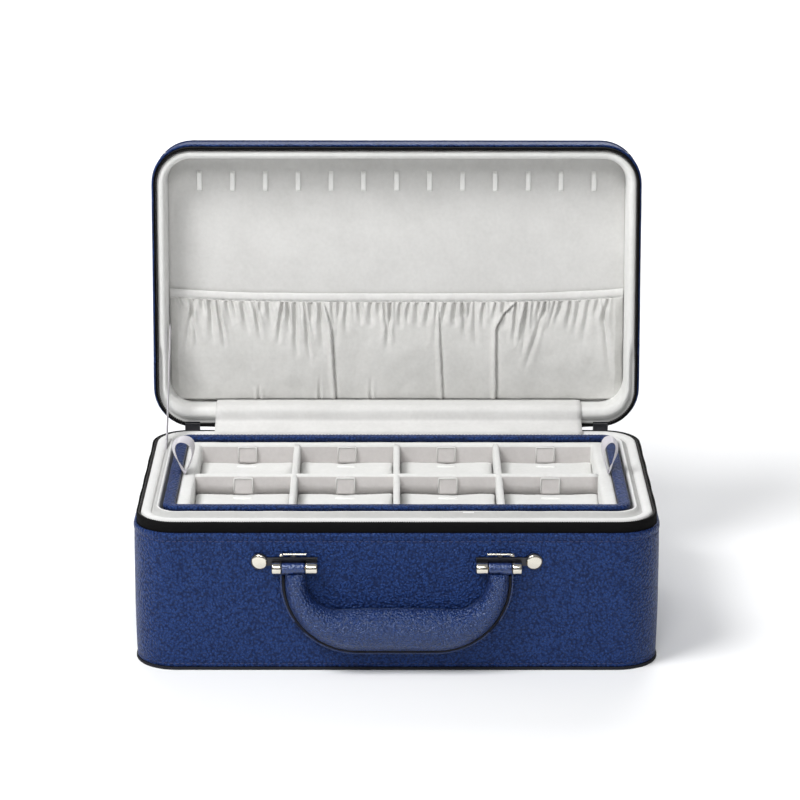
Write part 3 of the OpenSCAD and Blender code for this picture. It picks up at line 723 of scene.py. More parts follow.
def base_rims():
    """The outer padded rim and the padded lining inside it, with a soft valley between them whose outward
    slopes carry painted shade.
    """
    rim_in, liner_in = inset_of("base_rim_lining"), inset_of("base_inner_liner")
    crest = high("base_zip_coil").z + 0.5 * MM
    liner_top = high("base_inner_liner").z - 0.3 * MM
    profile = fillet(
        [
            (rim_in - 1.55 * MM, crest - 4.5 * MM),
            (rim_in - 1.6 * MM, crest - 1.6 * MM),
            (rim_in - 0.9 * MM, crest - 0.25 * MM),
            (rim_in + 0.9 * MM, crest + 0.2 * MM),
            (liner_in - 2.4 * MM, crest - 0.1 * MM),
            (liner_in - 1.2 * MM, crest - 1.0 * MM),
            (liner_in - 0.9 * MM, crest - 2.2 * MM),
            (liner_in - 0.9 * MM, crest - 8 * MM),
        ],
        [0.8 * MM, 1 * MM, 1.2 * MM, 1.4 * MM, 0.8 * MM, 0.8 * MM],
        4,
    )
    rings = [case_ring(i, z) for i, z in profile]
    rim_pad("base_rim_pad", rings, 1, RIM, "base_rim_lining", "white_lining")
    open_w, open_d = high("lower_liner").x, high("lower_liner").y
    ledge = high("lower_liner").z
    edge = liner_in - 0.9 * MM
    outer = (HALF_W - edge, HALF_D - edge, CORNER_R - edge)
    inside = (open_w, open_d, 11 * MM)
    shape = [(0, -7), (0.0, -3.6), (0.03, -3.0), (0.1, -2.7), (0.22, -2.5), (0.34, -2.0), (0.44, -1.3)]
    shape += [(0.54, -0.5), (0.66, -0.05), (0.76, 0.0), (0.86, -0.2), (0.94, -0.7), (0.985, -1.5),
        (1.0, -2.6)]
    shape += [(1.0, -5), (1.0, -10), (1.0, -16), (1.0, -22)]
    rings = []
    for share, drop in shape:
        rings.append(ring(*between(outer, inside, share), liner_top + drop * MM))
    rings.append(ring(*inside, ledge - 0.5 * MM))
    pad = rim_pad("base_lining_pad", rings, 2, RIM, "base_inner_liner", "white_lining")

    # faces sloping outwards in the valley get the darker cloth: painted shade in the groove
    def in_shaded_valley(at, way):
        outward = (at.x * way.x + at.y * way.y) * (1 if way.z > 0 else -1)
        return outward > 0.012 and abs(way.z) > 0.3 and at.z < liner_top - 0.2 * MM

    paint(pad, VALLEY_SHADE, in_shaded_valley)


def lower_compartment():
    """Lining of the space under the tray and its floor cushion."""
    liner_high = high("lower_liner")
    pad_low, pad_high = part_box("base_floor_pad")
    wall = (pad_high.x, pad_high.y, 5 * MM)
    outer = (liner_high.x, liner_high.y, 11 * MM)
    shape = [(0, -1.2), (0.08, -0.3), (0.25, 0.0), (0.75, 0.0), (0.92, -0.4), (1, -1.3)]
    rings = []
    for share, drop in shape:
        rings.append(ring(*between(outer, wall, share), liner_high.z + drop * MM))
    for z in (0.75, 0.5, 0.25, 0.0):
        rings.append(ring(*wall, pad_low.z + (liner_high.z - pad_low.z) * z))
    rim_pad("lower_lining_pad", rings, 3, PANEL, "lower_liner", "grey_lining")
    rings = [ring(wall[0] - 0.3 * MM, wall[1] - 0.3 * MM, 5 * MM, pad_low.z)]
    for share, rise in ((1, 0.45), (0.99, 0.8), (0.965, 0.95), (0.85, 1), (0.6, 1.04), (0.3, 1.05),
            (0.1, 1.05)):
        z = pad_low.z + (pad_high.z - pad_low.z) * rise
        rings.append(ring(wall[0] * share, wall[1] * share, 5 * MM * share, z))
    pad = piece("base_floor_cushion", *loft(rings, caps=True), WHITE, "base", ["base_floor_pad"],
        "white_lining")


# ---------- zip ----------


def zip_run(inset, x_end, step):
    """Distances along the outline from one end of the zip round to the other."""
    start = track_start(inset, x_end)
    end = track_length(inset) - start
    count = int((end - start) / step)
    return [start + (end - start) * k / count for k in range(count + 1)]


def zip_tape(name, inset, thick, levels, x_end, node, body, place=None, curl=0.0):
    """Woven tape standing round the case, cut at the hinge, with a slightly wavy free edge."""
    runs = zip_run(inset, x_end, 2 * MM)
    rings = []
    for s in runs:
        at, out = track(inset, s)
        end = min(s - runs[0], runs[-1] - s)
        edge_wave = 0.12 * MM * math.sin(s * 190) + curl * math.exp(-(end / (9 * MM)) ** 2)
        section = []
        for face in (0, 1):
            rows = levels if face == 0 else levels[::-1]
            for z in rows:
                free = max(0.0, abs(z - levels[0]) / abs(levels[-1] - levels[0]) * 2 - 1)
                lean = free * edge_wave - face * thick
                section.append(at + out * lean + [0, 0, z])
        rings.append(section)
    verts, faces = loft(rings, caps=True)
    if place:
        verts = place(verts)
    piece(name, verts, faces, TAPE, body, [node], "zip_tape")


def zip_coil(name, inset, middle, half_t, half_h, x_end, node, body, place=None):
    """Nylon coil: one long flattened spiral sewn beside the tape's edge."""
    pitch, wire, turn = 1.35 * MM, 0.36 * MM, 8
    line = []
    for k, s in enumerate(zip_run(inset, x_end, pitch / turn)):
        at, out = track(inset, s)
        angle = 2 * math.pi * k / turn
        lean = out * (half_t - wire) * math.cos(angle)
        line.append(at + lean + [0, 0, middle + (half_h - wire) * math.sin(angle)])
    verts, faces = tube(line, wire, 5)
    if place:
        verts = place(verts)
    piece(name, verts, faces, COIL, body, [node], "zip_coil")


def zips():
    """Tape and coil of the base's row and of the lid's row."""
    tape_in = inset_of("base_zip_tape")
    coil_in = inset_of("base_zip_coil")
    thick = coil_in - tape_in
    tape_low, tape_high = low("base_zip_tape").z, high("base_zip_tape").z
    levels = [tape_low + (tape_high - tape_low) * k / 6 for k in range(7)]
    zip_tape("base_tape_weave", tape_in, thick, levels, HINGE_HALF, "base_zip_tape", "base")
    coil_low, coil_high = low("base_zip_coil").z, high("base_zip_coil").z
    half_h = (coil_high - coil_low) / 2
    half_t = 0.8 * MM
    end = low("zip_end_stops").x * -1 - 2 * MM
    zip_coil(
        "base_coil_teeth", coil_in + half_t, (coil_low + coil_high) / 2, half_t, half_h, end,
        "base_zip_coil", "base",
    )
    lid_low, lid_high = lid_box("lid_zip_tape")
    levels = [lid_high[2] + (lid_low[2] - lid_high[2]) * k / 6 for k in range(7)]
    end_x = CORNER_X + 6.5 * MM
    tape_end = HINGE_HALF + 0.4 * MM
    zip_tape("lid_tape_weave", tape_in, thick, levels, tape_end, "lid_zip_tape", "lid", to_lid, 0.5 * MM)
    coil_low, coil_high = lid_box("lid_zip_coil")
    zip_coil(
        "lid_coil_teeth", coil_in + half_t, (coil_low[2] + coil_high[2]) / 2, half_t, half_h,
        end_x, "lid_zip_coil", "lid", to_lid,
    )


# ---------- lid ----------


def lid_shell():
    """The lid's leather wall with its stitches, and its top panel."""
    lid_low, lid_high = lid_box("lid_leather")
    edge, foot = lid_low[2], lid_high[2]
    stitch = edge + 5 * MM
    rings = wall_rings(edge, foot, 1.2 * MM, stitch, -1)
    verts, faces = loft(rings, close=True)
    verts = to_lid(wavy(verts, 0.14 * MM, 0.03, 4))
    piece("lid_leather_cover", verts, faces, BLUE, "lid", ["lid_leather"], "blue_leather")
    rows = [
        outline_stitches(0.12 * MM, stitch),
        outline_stitches(0.12 * MM, foot - 2.1 * MM),
    ]
    verts, faces = merge(rows)
    piece("lid_stitching", to_lid(verts), faces, NAVY_THREAD, "lid", slot="blue_leather")
    top_low, top_high = lid_box("lid_top_panel")
    plate(
        "lid_top_leather", top_high[0], top_high[1], CORNER_R + top_high[0] - HALF_W, top_low[2],
        top_high[2] - 0.06 * MM, DARK_BLUE_AND_SHADE, "lid", "lid_top_panel", to_lid,
    )


RIM_FACE = lid_box("lid_rim_lining")[0][2]
PANEL_DEPTH = lid_box("lid_inner_panel")[0][2]
POCKET_LOW, POCKET_HIGH = lid_box("lid_pocket")
LID_RIM = HALF_W - POCKET_HIGH[0] - 2 * MM
LID_RIM_BACK = HALF_D - POCKET_HIGH[1] - 2 * MM
HOLLOW = (HALF_W - LID_RIM, HALF_D - (LID_RIM + LID_RIM_BACK) / 2, CORNER_R - LID_RIM)
HOLLOW_Y = (LID_RIM - LID_RIM_BACK) / 2


def lid_lining():
    """Padded rim of the lid, down to the panel at the back of the recess."""
    outer = (HALF_W - 1.9 * MM, HALF_D - 1.9 * MM, CORNER_R - 1.9 * MM)
    shape = [(0, -0.6), (0.05, -2.2), (0.14, -3.4), (0.28, -4.2), (0.45, -4.6), (0.62, -4.6),
        (0.76, -4.2), (0.87, -3.3)]
    shape += [(0.95, -1.7), (1.0, 0.4), (1.0, 4.0), (1.0, 8.0), (1.0, 12.0), (1.0, 15.0), (1.0, 18.5)]
    rings = []
    for share, drop in shape:
        rings.append(ring(*between(outer, HOLLOW, share), RIM_FACE + drop * MM, HOLLOW_Y * share))
    verts, faces = loft(rings)
    verts[:, 2] += ripple(verts, 0.2 * MM, 0.013, 5)
    # the pad keeps back from the sliders' path round the rear corners
    side = np.abs(verts[:, 0])
    across, deep = side - (HALF_W - CORNER_R), verts[:, 1] - (HALF_D - CORNER_R)
    past_corner = np.hypot(np.maximum(across, 0), np.maximum(deep, 0))
    inset = CORNER_R - past_corner - np.minimum(np.maximum(across, deep), 0)
    reach = np.clip((verts[:, 1] - 30 * MM) / (12 * MM), 0, 1)
    reach *= np.clip((side - 98 * MM) / (10 * MM), 0, 1)
    least = 4.9 * MM - 2.9 * MM * np.clip((inset - 5.3 * MM) / (1.0 * MM), 0, 1)
    verts[:, 2] = np.maximum(verts[:, 2], least * reach)
    pad = piece("lid_rim_pad", to_lid(verts), faces, WHITE, "lid", ["lid_rim_lining"], "white_lining",
        solid=False)
    columns, rows = 90, 50
    half_x, half_y = HOLLOW[0] + 2 * MM, HOLLOW[1] + 2 * MM
    points = []
    for j in range(rows + 1):
        for i in range(columns + 1):
            x, y = half_x * (2 * i / columns - 1), HOLLOW_Y + half_y * (2 * j / rows - 1)
            near = min(half_x - abs(x), half_y - abs(y - HOLLOW_Y))
            points.append((x, y, PANEL_DEPTH + 0.5 * MM * math.exp(-near / (5 * MM))))
    points = np.array(points)
    points[:, 2] += ripple(points, 0.25 * MM, 0.035, 6)
    back = points + [0, 0, 1.2 * MM]
    verts = np.vstack([points, back])
    count = (rows + 1) * (columns + 1)
    front = grid_faces(rows + 1, columns + 1)
    faces = front + [tuple(i + count for i in f)[::-1] for f in front] + rim_faces(rows, columns, count)
    panel = piece("lid_panel_cloth", to_lid(verts), faces, PANEL, "lid", ["lid_inner_panel"], "grey_lining")


def necklace_loops():
    """Thirteen flat ribbon loops, each sewn down at both ends and standing off the panel between."""
    loop_low, loop_high = lid_box("necklace_loops")
    count = 13
    half_w = 1.2 * MM
    v0, v1 = HINGE_Y - loop_high[1], HINGE_Y - loop_low[1]
    first, last = loop_low[0] + half_w, loop_high[0] - half_w
    parts = []
    rise = loop_high[2] - loop_low[2]
    for i in range(count):
        x = first + (last - first) * i / (count - 1)
        sway = 0.25 * MM * noise.noise(Vector((i * 3.7, 0, 0)))
        span = v1 - v0
        shape = [(-0.6 * MM, -0.4), (0.1 * MM, 0.05), (0.9 * MM, 0.75), (2.2 * MM, 1.0), (span / 2, 1.08)]
        shape += [(span - 2.2 * MM, 1.0), (span - 0.9 * MM, 0.75), (span - 0.1 * MM, 0.05),
            (span + 0.6 * MM, -0.4)]
        knots = [(v, PANEL_DEPTH - rise * 0.8 * k) for v, k in shape]
        line = [(x + sway * j / len(knots), HINGE_Y - v0 - v, h) for j, (v, h) in enumerate(bend(knots, 3))]
        wide = [half_w * (1.12 if j in (0, 1, len(line) - 1) else 1.0) for j in range(len(line))]
        parts.append(ribbon(line, (1, 0, 0), wide, 0.55 * MM))
    verts, faces = merge(parts)
    piece("necklace_loop_ribbons", to_lid(verts), faces, LOOP, "lid", ["necklace_loops"], "ribbon")


def pocket_folds():
    """Creases of the gathered cloth: place at the hem, lean, length down, depth and width, in mm."""
    rng = np.random.RandomState(5)
    folds = []
    x = -136.0
    while x < 137.0:
        side = x / 136.0
        length = rng.uniform(8, 20) + (rng.uniform(12, 26) if rng.rand() < 0.35 else 0)
        lean = -side * abs(side) * rng.uniform(4, 12) * length / 30 + rng.uniform(-2.0, 2.0)
        folds.append((x, lean, length, rng.uniform(1.3, 2.8), rng.uniform(0.8, 1.5)))
        x += rng.uniform(3.6, 8.4)
    for x, lean, length in ((-88, 4, 24), (-71, -3, 27), (-68, 2.5, 22), (-8, 3, 26), (-3.5, -2.5, 30)):
        folds.append((x, lean, length, 2.4, 0.9))
    for x, lean, length in ((41, 2.0, 24), (46, -3, 18), (93, -14, 46), (82, -8, 34), (128, 5, 50),
            (-126, -7, 40)):
        folds.append((x, lean, length, 1.7, 1.2))
    return folds


def pocket():
    """Gathered cloth pocket: an elastic hem at the top, creases falling from it and three long tucks."""
    half = HOLLOW[0] - 0.6 * MM
    foot_v = HINGE_Y - POCKET_HIGH[1]
    top_v = HINGE_Y - POCKET_LOW[1]
    hem = lid_box("pocket_hem")
    hem_h = hem[1][1] - hem[0][1]
    near = PANEL_DEPTH - 1.8 * MM
    columns, rows = 640, 76
    x, t = np.meshgrid(np.linspace(-half, half, columns + 1), np.linspace(0, 1, rows + 1))
    lift = 3.2 * MM * np.abs(x / half) ** 4
    hem_v = top_v - hem_h + lift
    height = hem_v - foot_v
    down = height * (1 - t)
    full = np.sin(np.pi * (0.05 + 0.9 * t)) ** 0.7
    h = near - 4.2 * MM * full

    def valley(centre, width, depth, fade):
        d = (x - centre) / width
        dip = np.exp(-np.abs(d) ** 1.5)
        lips = np.exp(-((d - 2.1) / 1.3) ** 2) + np.exp(-((d + 2.1) / 1.3) ** 2)
        return depth * fade * (dip - 0.55 * lips)

    for at, lean, length, depth, width in pocket_folds():
        along = np.clip(down / (length * MM), 0, 1)
        fade = (1 - along**1.6) * (down < length * MM)
        spread = width * MM * (0.75 + 0.7 * along)
        h += valley((at + lean * along) * MM, spread, depth * MM, fade)
    # three tucks that run from the hem to the foot: one side lies over the other
    for top_x, mid_x, foot_x, depth in ((-46, -41.5, -38.0, 3.0), (25.5, 26.0, 29.0, 2.2),
            (75.0, 62.0, 62.0, 3.2)):
        share = np.clip(down / height, 0, 1)
        turn = np.clip(share / 0.32, 0, 1)
        centre = (top_x + (mid_x - top_x) * (1 - (1 - turn) ** 2) + (foot_x - mid_x) * share) * MM
        d = (x - centre) / MM
        over = np.where(d > 0, np.exp(-d / 1.1), -0.5 * np.exp(-((d + 1.2) / 1.6) ** 2))
        h += depth * MM * over * (0.75 + 0.25 * np.sin(np.pi * share))
    for at, length in ((-48, 16), (-16, 14), (-86, 10)):
        rise = np.clip(1 - (height - down) / (length * MM), 0, 1)
        h += valley(at * MM, 0.9 * MM, 1.1 * MM, rise)
    edge = np.clip((half - np.abs(x)) / (5 * MM), 0, 1) ** 0.7
    h = edge * np.minimum(h, PANEL_DEPTH - 0.9 * MM) + (1 - edge) * (PANEL_DEPTH - 1.2 * MM)
    front = np.stack([x.ravel(), (HINGE_Y - foot_v - height * t).ravel(), h.ravel()], 1)
    front[:, 2] += ripple(front, 0.8 * MM, 0.024, 8) + ripple(front, 0.4 * MM, 0.009, 9)
    front[:, 0] += ripple(front, 0.5 * MM, 0.010, 10)
    corner = HOLLOW[2]
    v = HINGE_Y - front[:, 1] - LID_RIM_BACK
    limit = HOLLOW[0] - corner + np.sqrt(np.maximum(corner**2 - np.clip(corner - v, 0, corner) ** 2, 0))
    front[:, 0] = np.clip(front[:, 0], -limit - 0.3 * MM, limit + 0.3 * MM)
    count = len(front)
    verts = np.vstack([front, front + [0, 0, 0.7 * MM]])
    sheet = grid_faces(rows + 1, columns + 1)
    faces = sheet + [tuple(i + count for i in f)[::-1] for f in sheet] + rim_faces(rows, columns, count)
    cloth = piece("pocket_gathers", to_lid(verts), faces, POCKET, "lid", ["lid_pocket"], "pocket_cloth")
    rings, places = [], []
    for k, x in enumerate(np.linspace(-half, half, 420)):
        rise = 3.2 * MM * abs(x / half) ** 4
        pucker = 0.3 * MM * noise.noise(Vector((x / 0.0032, 0, 1.7)))
        pucker += 0.3 * MM * noise.noise(Vector((x / 0.011, 3, 0)))
        low_v = top_v - hem_h + rise - 0.7 * MM
        high_v = top_v + rise - 0.6 * MM + 0.3 * MM * noise.noise(Vector((x / 0.02, 9, 0)))
        middle = near - 0.3 * MM + pucker
        outline = [(0, 0.1), (0.03, -0.55), (0.1, -0.6), (0.16, -0.2), (0.23, -0.75), (0.45, -1.0),
            (0.7, -0.9)]
        outline += [(0.88, -0.5), (0.98, 0.1)]
        outline += [(0.97, 0.7), (0.9, 1.0), (0.5, 1.0), (0.05, 0.7)]
        tall = high_v - low_v
        rings.append([(x, HINGE_Y - (low_v + tall * a), middle + b * 0.8 * MM) for a, b in outline])
    verts, faces = loft(rings, caps=True)
    band = piece("pocket_hem_band", to_lid(verts), faces, LINING, "lid", ["pocket_hem"], "pocket_cloth")
    line = []
    for x in np.linspace(-half + 2 * MM, half - 2 * MM, 160):
        rise = 3.2 * MM * abs(x / half) ** 4
        line.append((x, HINGE_Y - top_v + hem_h / 2 - rise + 0.6 * MM, near - 0.3 * MM))
    verts, faces = ribbon(line, (0, 1, 0), 1.9 * MM, 0.35 * MM)
    piece("pocket_elastic_band", to_lid(verts), faces, ELASTIC, "lid", ["pocket_elastic"], "elastic")
    for k in range(int(2 * half / (2.4 * MM))):
        x = -half + (k + 0.5) * 2.4 * MM
        low_v = top_v - hem_h + 3.2 * MM * abs(x / half) ** 4
        at = np.array([x, HINGE_Y - low_v - 0.35 * MM, near - 0.62 * MM])
        places.append((at, np.array([1.0, 0, 0]), np.array([0, 0, -1.0])))
    verts, faces = stitches(places, 1.7 * MM, 0.17 * MM)
    seam = piece("pocket_hem_stitching", to_lid(verts), faces, WHITE_THREAD, "lid", slot="pocket_cloth")


# ---------- what crosses the hinge ----------


def lid_point(v, h):
    """A point of the open lid in Y and Z, from its height above the hinge and depth behind the zip."""
    return to_lid([(0, HINGE_Y - v, h)])[0][1:]


def strip_mesh(path, half_w, thick, columns):
    """A strip of even thickness along a Y-Z line, wide in X."""
    path = np.asarray(path, float)
    tangent = np.gradient(path, axis=0)
    tangent /= np.linalg.norm(tangent, axis=1)[:, None]
    normal = np.stack([-tangent[:, 1], tangent[:, 0]], 1)
    rings = []
    for i in range(columns + 1):
        x = half_w * (2 * i / columns - 1)
        pinch = 0.35 if i in (0, columns) else 1.0
        upper = path + normal * thick / 2 * pinch
        lower = (path - normal * thick / 2 * pinch)[::-1]
        rings.append([(x, y, z) for y, z in np.vstack([upper, lower])])
    return loft(rings, caps=True)


def hinge_pieces():
    """The lining cloth over the hinge and the leather strip behind it."""
    rim_top = high("base_rim_lining").z
    rim_in, groove = inset_of("base_rim_lining"), inset_of("base_inner_liner") - 0.5 * MM
    face = RIM_FACE - 0.5 * MM
    path = bend([
        (HALF_D - groove, rim_top - 6 * MM),
        (HALF_D - groove, rim_top - 1.6 * MM),
        (HALF_D - groove + 1.4 * MM, rim_top - 0.5 * MM),
        (HALF_D - rim_in + 0.5 * MM, rim_top + 0.3 * MM),
        lid_point(3.6 * MM, face - 4.8 * MM),
        lid_point(8.5 * MM, face - 5.1 * MM),
        lid_point(LID_RIM_BACK - 1.0 * MM, face - 4.2 * MM),
        lid_point(LID_RIM_BACK + 0.9 * MM, face + 1.2 * MM),
        lid_point(LID_RIM_BACK + 1.1 * MM, face + 8 * MM),
        lid_point(LID_RIM_BACK + 1.4 * MM, face + 15 * MM),
    ], 6)
    verts, faces = strip_mesh(path, HINGE_HALF + 1.3 * MM, 0.7 * MM, 70)
    verts[:, 0] += 1.2 * MM
    sag = ripple(verts, 0.3 * MM, 0.03, 12)
    middle = np.exp(-((verts[:, 1] - HINGE_Y - 2 * MM) / (6 * MM)) ** 2)
    verts[:, 2] += sag * middle
    cover = piece("hinge_cover_cloth", verts, faces, LINING)
    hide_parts("hinge_cover")
    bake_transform(cover)
    # leather strip outside the hinge
    thick = 1.2 * MM
    out_y = HINGE_Y - thick / 2
    arc = []
    for k in range(9):
        a = math.pi - LID_ANGLE * k / 8
        arc.append((HINGE_Y + thick * math.cos(a), ZIP_Z + thick * math.sin(a)))
    path = [(out_y - 0.4 * MM, BASE_TOP - 5 * MM), (out_y - 0.4 * MM, BASE_TOP - 0.5 * MM),
        (out_y, BASE_TOP + 1 * MM), (HINGE_Y - thick, ZIP_Z - 1.5 * MM)]
    path += arc
    path += [lid_point(thick, 1.5 * MM), lid_point(thick / 2, 6 * MM),
        lid_point(thick / 2 + 0.4 * MM, 7.2 * MM), lid_point(thick / 2 + 0.4 * MM, 11 * MM)]
    strip = piece("hinge_leather_strip", *strip_mesh(bend(path, 3), HINGE_HALF, thick, 90), BLUE)
    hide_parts("hinge_strip")
    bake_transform(strip)


def stay_ribbon():
    """Ribbon on the left that stops the lid, drawn taut with the lid open."""
    ribbon_low, ribbon_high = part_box("lid_stay_ribbon")
    x = (ribbon_low.x + ribbon_high.x) / 2
    foot = np.array([x, CORNER_Y - 14 * MM, ribbon_low.z])
    head = np.array([x + 0.15 * MM, ribbon_high.y - 4.5 * MM, ribbon_high.z - 2 * MM])
    line = [foot + (head - foot) * k / 40 for k in range(41)]
    way = (head - foot) / np.linalg.norm(head - foot)
    across = np.cross(way, [1.0, 0, 0])
    across /= np.linalg.norm(across)
    verts, faces = ribbon(line, across, 4.6 * MM, 0.45 * MM)
    verts[:, 0] += ripple(verts, 0.12 * MM, 0.02, 14)
    strap = piece("stay_ribbon_satin", verts, faces, SATIN)
    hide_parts("lid_stay_ribbon")
    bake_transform(strap)


# ---------- tray ----------

TRAY_LOW, TRAY_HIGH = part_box("tray_leather")
LINER_HIGH = high("tray_liner")
TRAY_OUT = (TRAY_HIGH.x, TRAY_HIGH.y, 9 * MM)
TRAY_IN = (LINER_HIGH.x, LINER_HIGH.y, 3 * MM)
CELLS = (high("long_divider").x, high("cross_divider_left").y, 1.5 * MM)


def tray_shell():
    """Leather over the tray's outside, over its edge and a little way down inside."""
    top = TRAY_HIGH.z
    shape = [(0.2, TRAY_LOW.z), (0.02, TRAY_LOW.z + 0.3 * MM), (0.0, TRAY_LOW.z + 1.2 * MM)]
    shape += [(0.0, TRAY_LOW.z + (top - TRAY_LOW.z) * k / 6) for k in range(1, 6)]
    shape += [(0.0, top - 2.4 * MM), (0.0, top - 1.6 * MM), (0.035, top - 0.8 * MM), (0.10, top - 0.3 * MM)]
    shape += [(0.22, top - 0.05 * MM), (0.5, top), (0.78, top - 0.05 * MM), (0.9, top - 0.3 * MM)]
    shape += [(0.965, top - 0.8 * MM), (1.0, top - 1.6 * MM), (1.0, top - 4 * MM), (0.86, top - 4 * MM)]
    rings = [ring(*between(TRAY_OUT, TRAY_IN, share), z) for share, z in shape]
    verts, faces = loft(rings)
    verts[:, 2] += ripple(verts, 0.12 * MM, 0.02, 15) * (verts[:, 2] > top - 5 * MM)
    cover = piece("tray_leather_cover", verts, faces, BLUE, "tray", ["tray_leather"], "blue_leather",
        solid=False)
    # below the top edge the leather is darker: painted shade on the tray's sides and its inner turn
    paint(cover, DARK_BLUE_AND_SHADE, lambda at, way: at.z < top - 1.2 * MM)
    inset = 1.4 * MM
    outline = ring(TRAY_OUT[0] - inset, TRAY_OUT[1] - inset, TRAY_OUT[2] - inset, top - 0.05 * MM,
        across=60, along=34)
    places = []
    for a, b in zip(outline, np.roll(outline, -1, 0)):
        if np.linalg.norm(b - a) > 1 * MM:
            way = (b - a) / np.linalg.norm(b - a)
            places.append(((a + b) / 2, way, np.array([0, 0, 1.0])))
    piece("tray_stitching", *stitches(places, 1.5 * MM, 0.16 * MM), NAVY_THREAD, "tray",
        slot="blue_leather")


def tray_lining():
    """The tray's padded lining, with painted shade on the cells' walls that face front or back."""
    top = LINER_HIGH.z
    floor_z = low("cell_cushion_1").z
    shape = [(0.0, -2.0), (0.02, -0.9), (0.10, -0.25), (0.3, 0.0), (0.6, 0.05), (0.82, -0.15),
        (0.94, -0.7), (1.0, -1.9)]
    rings = [ring(*between(TRAY_IN, CELLS, share), top + drop * MM) for share, drop in shape]
    for z in (top - 5 * MM, top - 9 * MM, floor_z + 9 * MM, floor_z + 1 * MM):
        rings.append(ring(*CELLS, z))
    for share in (0.97, 0.5, 0.05):
        rings.append(ring(CELLS[0] * share, CELLS[1] * share, 1 * MM, floor_z + 0.3 * MM))
    verts, faces = loft(rings)
    verts[:, 2] += ripple(verts, 0.15 * MM, 0.012, 16) * (verts[:, 2] > top - 4 * MM)
    pad = piece("tray_lining_pad", verts, faces, WHITE, "tray", ["tray_liner"], "white_lining", solid=False)
    # walls that face front or back, below the top, are painted in shade
    paint(pad, WALL_SHADE, lambda at, way: abs(way.y) > 0.8 and at.z < top - 2.2 * MM)


def divider(name, node, along_x):
    """A padded divider with a soft round top edge."""
    a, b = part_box(node)
    half_t = (b.y - a.y) / 2 if along_x else (b.x - a.x) / 2
    middle = (a + b) / 2
    start, end = (a.x, b.x) if along_x else (a.y, b.y)
    count = 60 if along_x else 30
    section = [(-1.0, -12.0), (-1.0, -6.0), (-1.0, -2.4), (-0.94, -1.2), (-0.72, -0.4), (-0.36, -0.06)]
    section += [(0.0, 0.0)] + [(-u, d) for u, d in section[::-1]]
    rings = []
    for k in range(count + 1):
        s = start + (end - start) * k / count
        full = 1 + 0.05 * noise.noise(Vector((s / 0.009, middle.x * 90, middle.y * 90)))
        lift = 0.15 * MM * noise.noise(Vector((s / 0.014, 5, middle.x * 70)))
        row = []
        for u, d in section:
            side, z = half_t * u * full, b.z + d * MM + (lift if d > -3 else 0)
            row.append((s, middle.y + side, z) if along_x else (middle.x + side, s, z))
        rings.append(row)
    verts, faces = loft(rings, caps=True)
    pad = piece(name, verts, faces, WHITE, "tray", [node], "white_lining")
    if along_x:
        # the long divider's front face is painted in shade
        paint(pad, WALL_SHADE, lambda at, way: way.y < -0.8 and at.z < b.z - 1.2 * MM)


def crowned_block(half_w, half_d, height, corner):
    """A block with rounded edges, as quads in rings, before it is puffed up."""
    steps = [(0.5, 0.0), (0.9, 0.0), (0.985, 0.04), (1.0, 0.2), (1.0, 0.45), (1.0, 0.7), (0.985, 0.88)]
    steps += [(0.95, 0.96), (0.88, 0.99), (0.7, 1.0), (0.5, 1.0), (0.3, 1.0), (0.1, 1.0)]
    rings = []
    for s, z in steps:
        rings.append(ring(half_w * s, half_d * s, corner * s, height * z, arc=5, across=7, along=7))
    return loft(rings, caps=True)


def puffed(verts, faces, voxel, pressure, cap):
    """Swells a closed mesh as a stuffed cloth form, and returns its new points and faces."""
    mesh = bpy.data.meshes.new("stuffing")
    mesh.from_pydata([tuple(v) for v in verts], [], faces)
    obj = bpy.data.objects.new("stuffing", mesh)
    scene = bpy.context.scene
    scene.collection.objects.link(obj)
    remesh = obj.modifiers.new("remesh", "REMESH")
    remesh.mode = "VOXEL"
    remesh.voxel_size = voxel
    graph = bpy.context.evaluated_depsgraph_get()
    shaped = bpy.data.meshes.new_from_object(obj.evaluated_get(graph))
    obj.modifiers.clear()
    obj.data = shaped
    rest = np.array([v.co for v in shaped.vertices])
    cloth = obj.modifiers.new("cloth", "CLOTH")
    settings = cloth.settings
    settings.use_pressure = True
    settings.uniform_pressure_force = pressure
    settings.effector_weights.gravity = 0
    settings.quality = 6
    settings.tension_stiffness = 20
    settings.compression_stiffness = 20
    for step in range(1, 21):
        scene.frame_set(step)
    graph = bpy.context.evaluated_depsgraph_get()
    swollen = obj.evaluated_get(graph).to_mesh()
    moved = np.array([v.co for v in swollen.vertices]) - rest
    length = np.linalg.norm(moved, axis=1)[:, None]
    rest = rest + moved * np.minimum(1.0, cap / np.maximum(length, 1e-9))
    obj.evaluated_get(graph).to_mesh_clear()
    scene.frame_set(1)
    out = rest, [tuple(p.vertices) for p in shaped.polygons]
    bpy.data.objects.remove(obj)
    return out


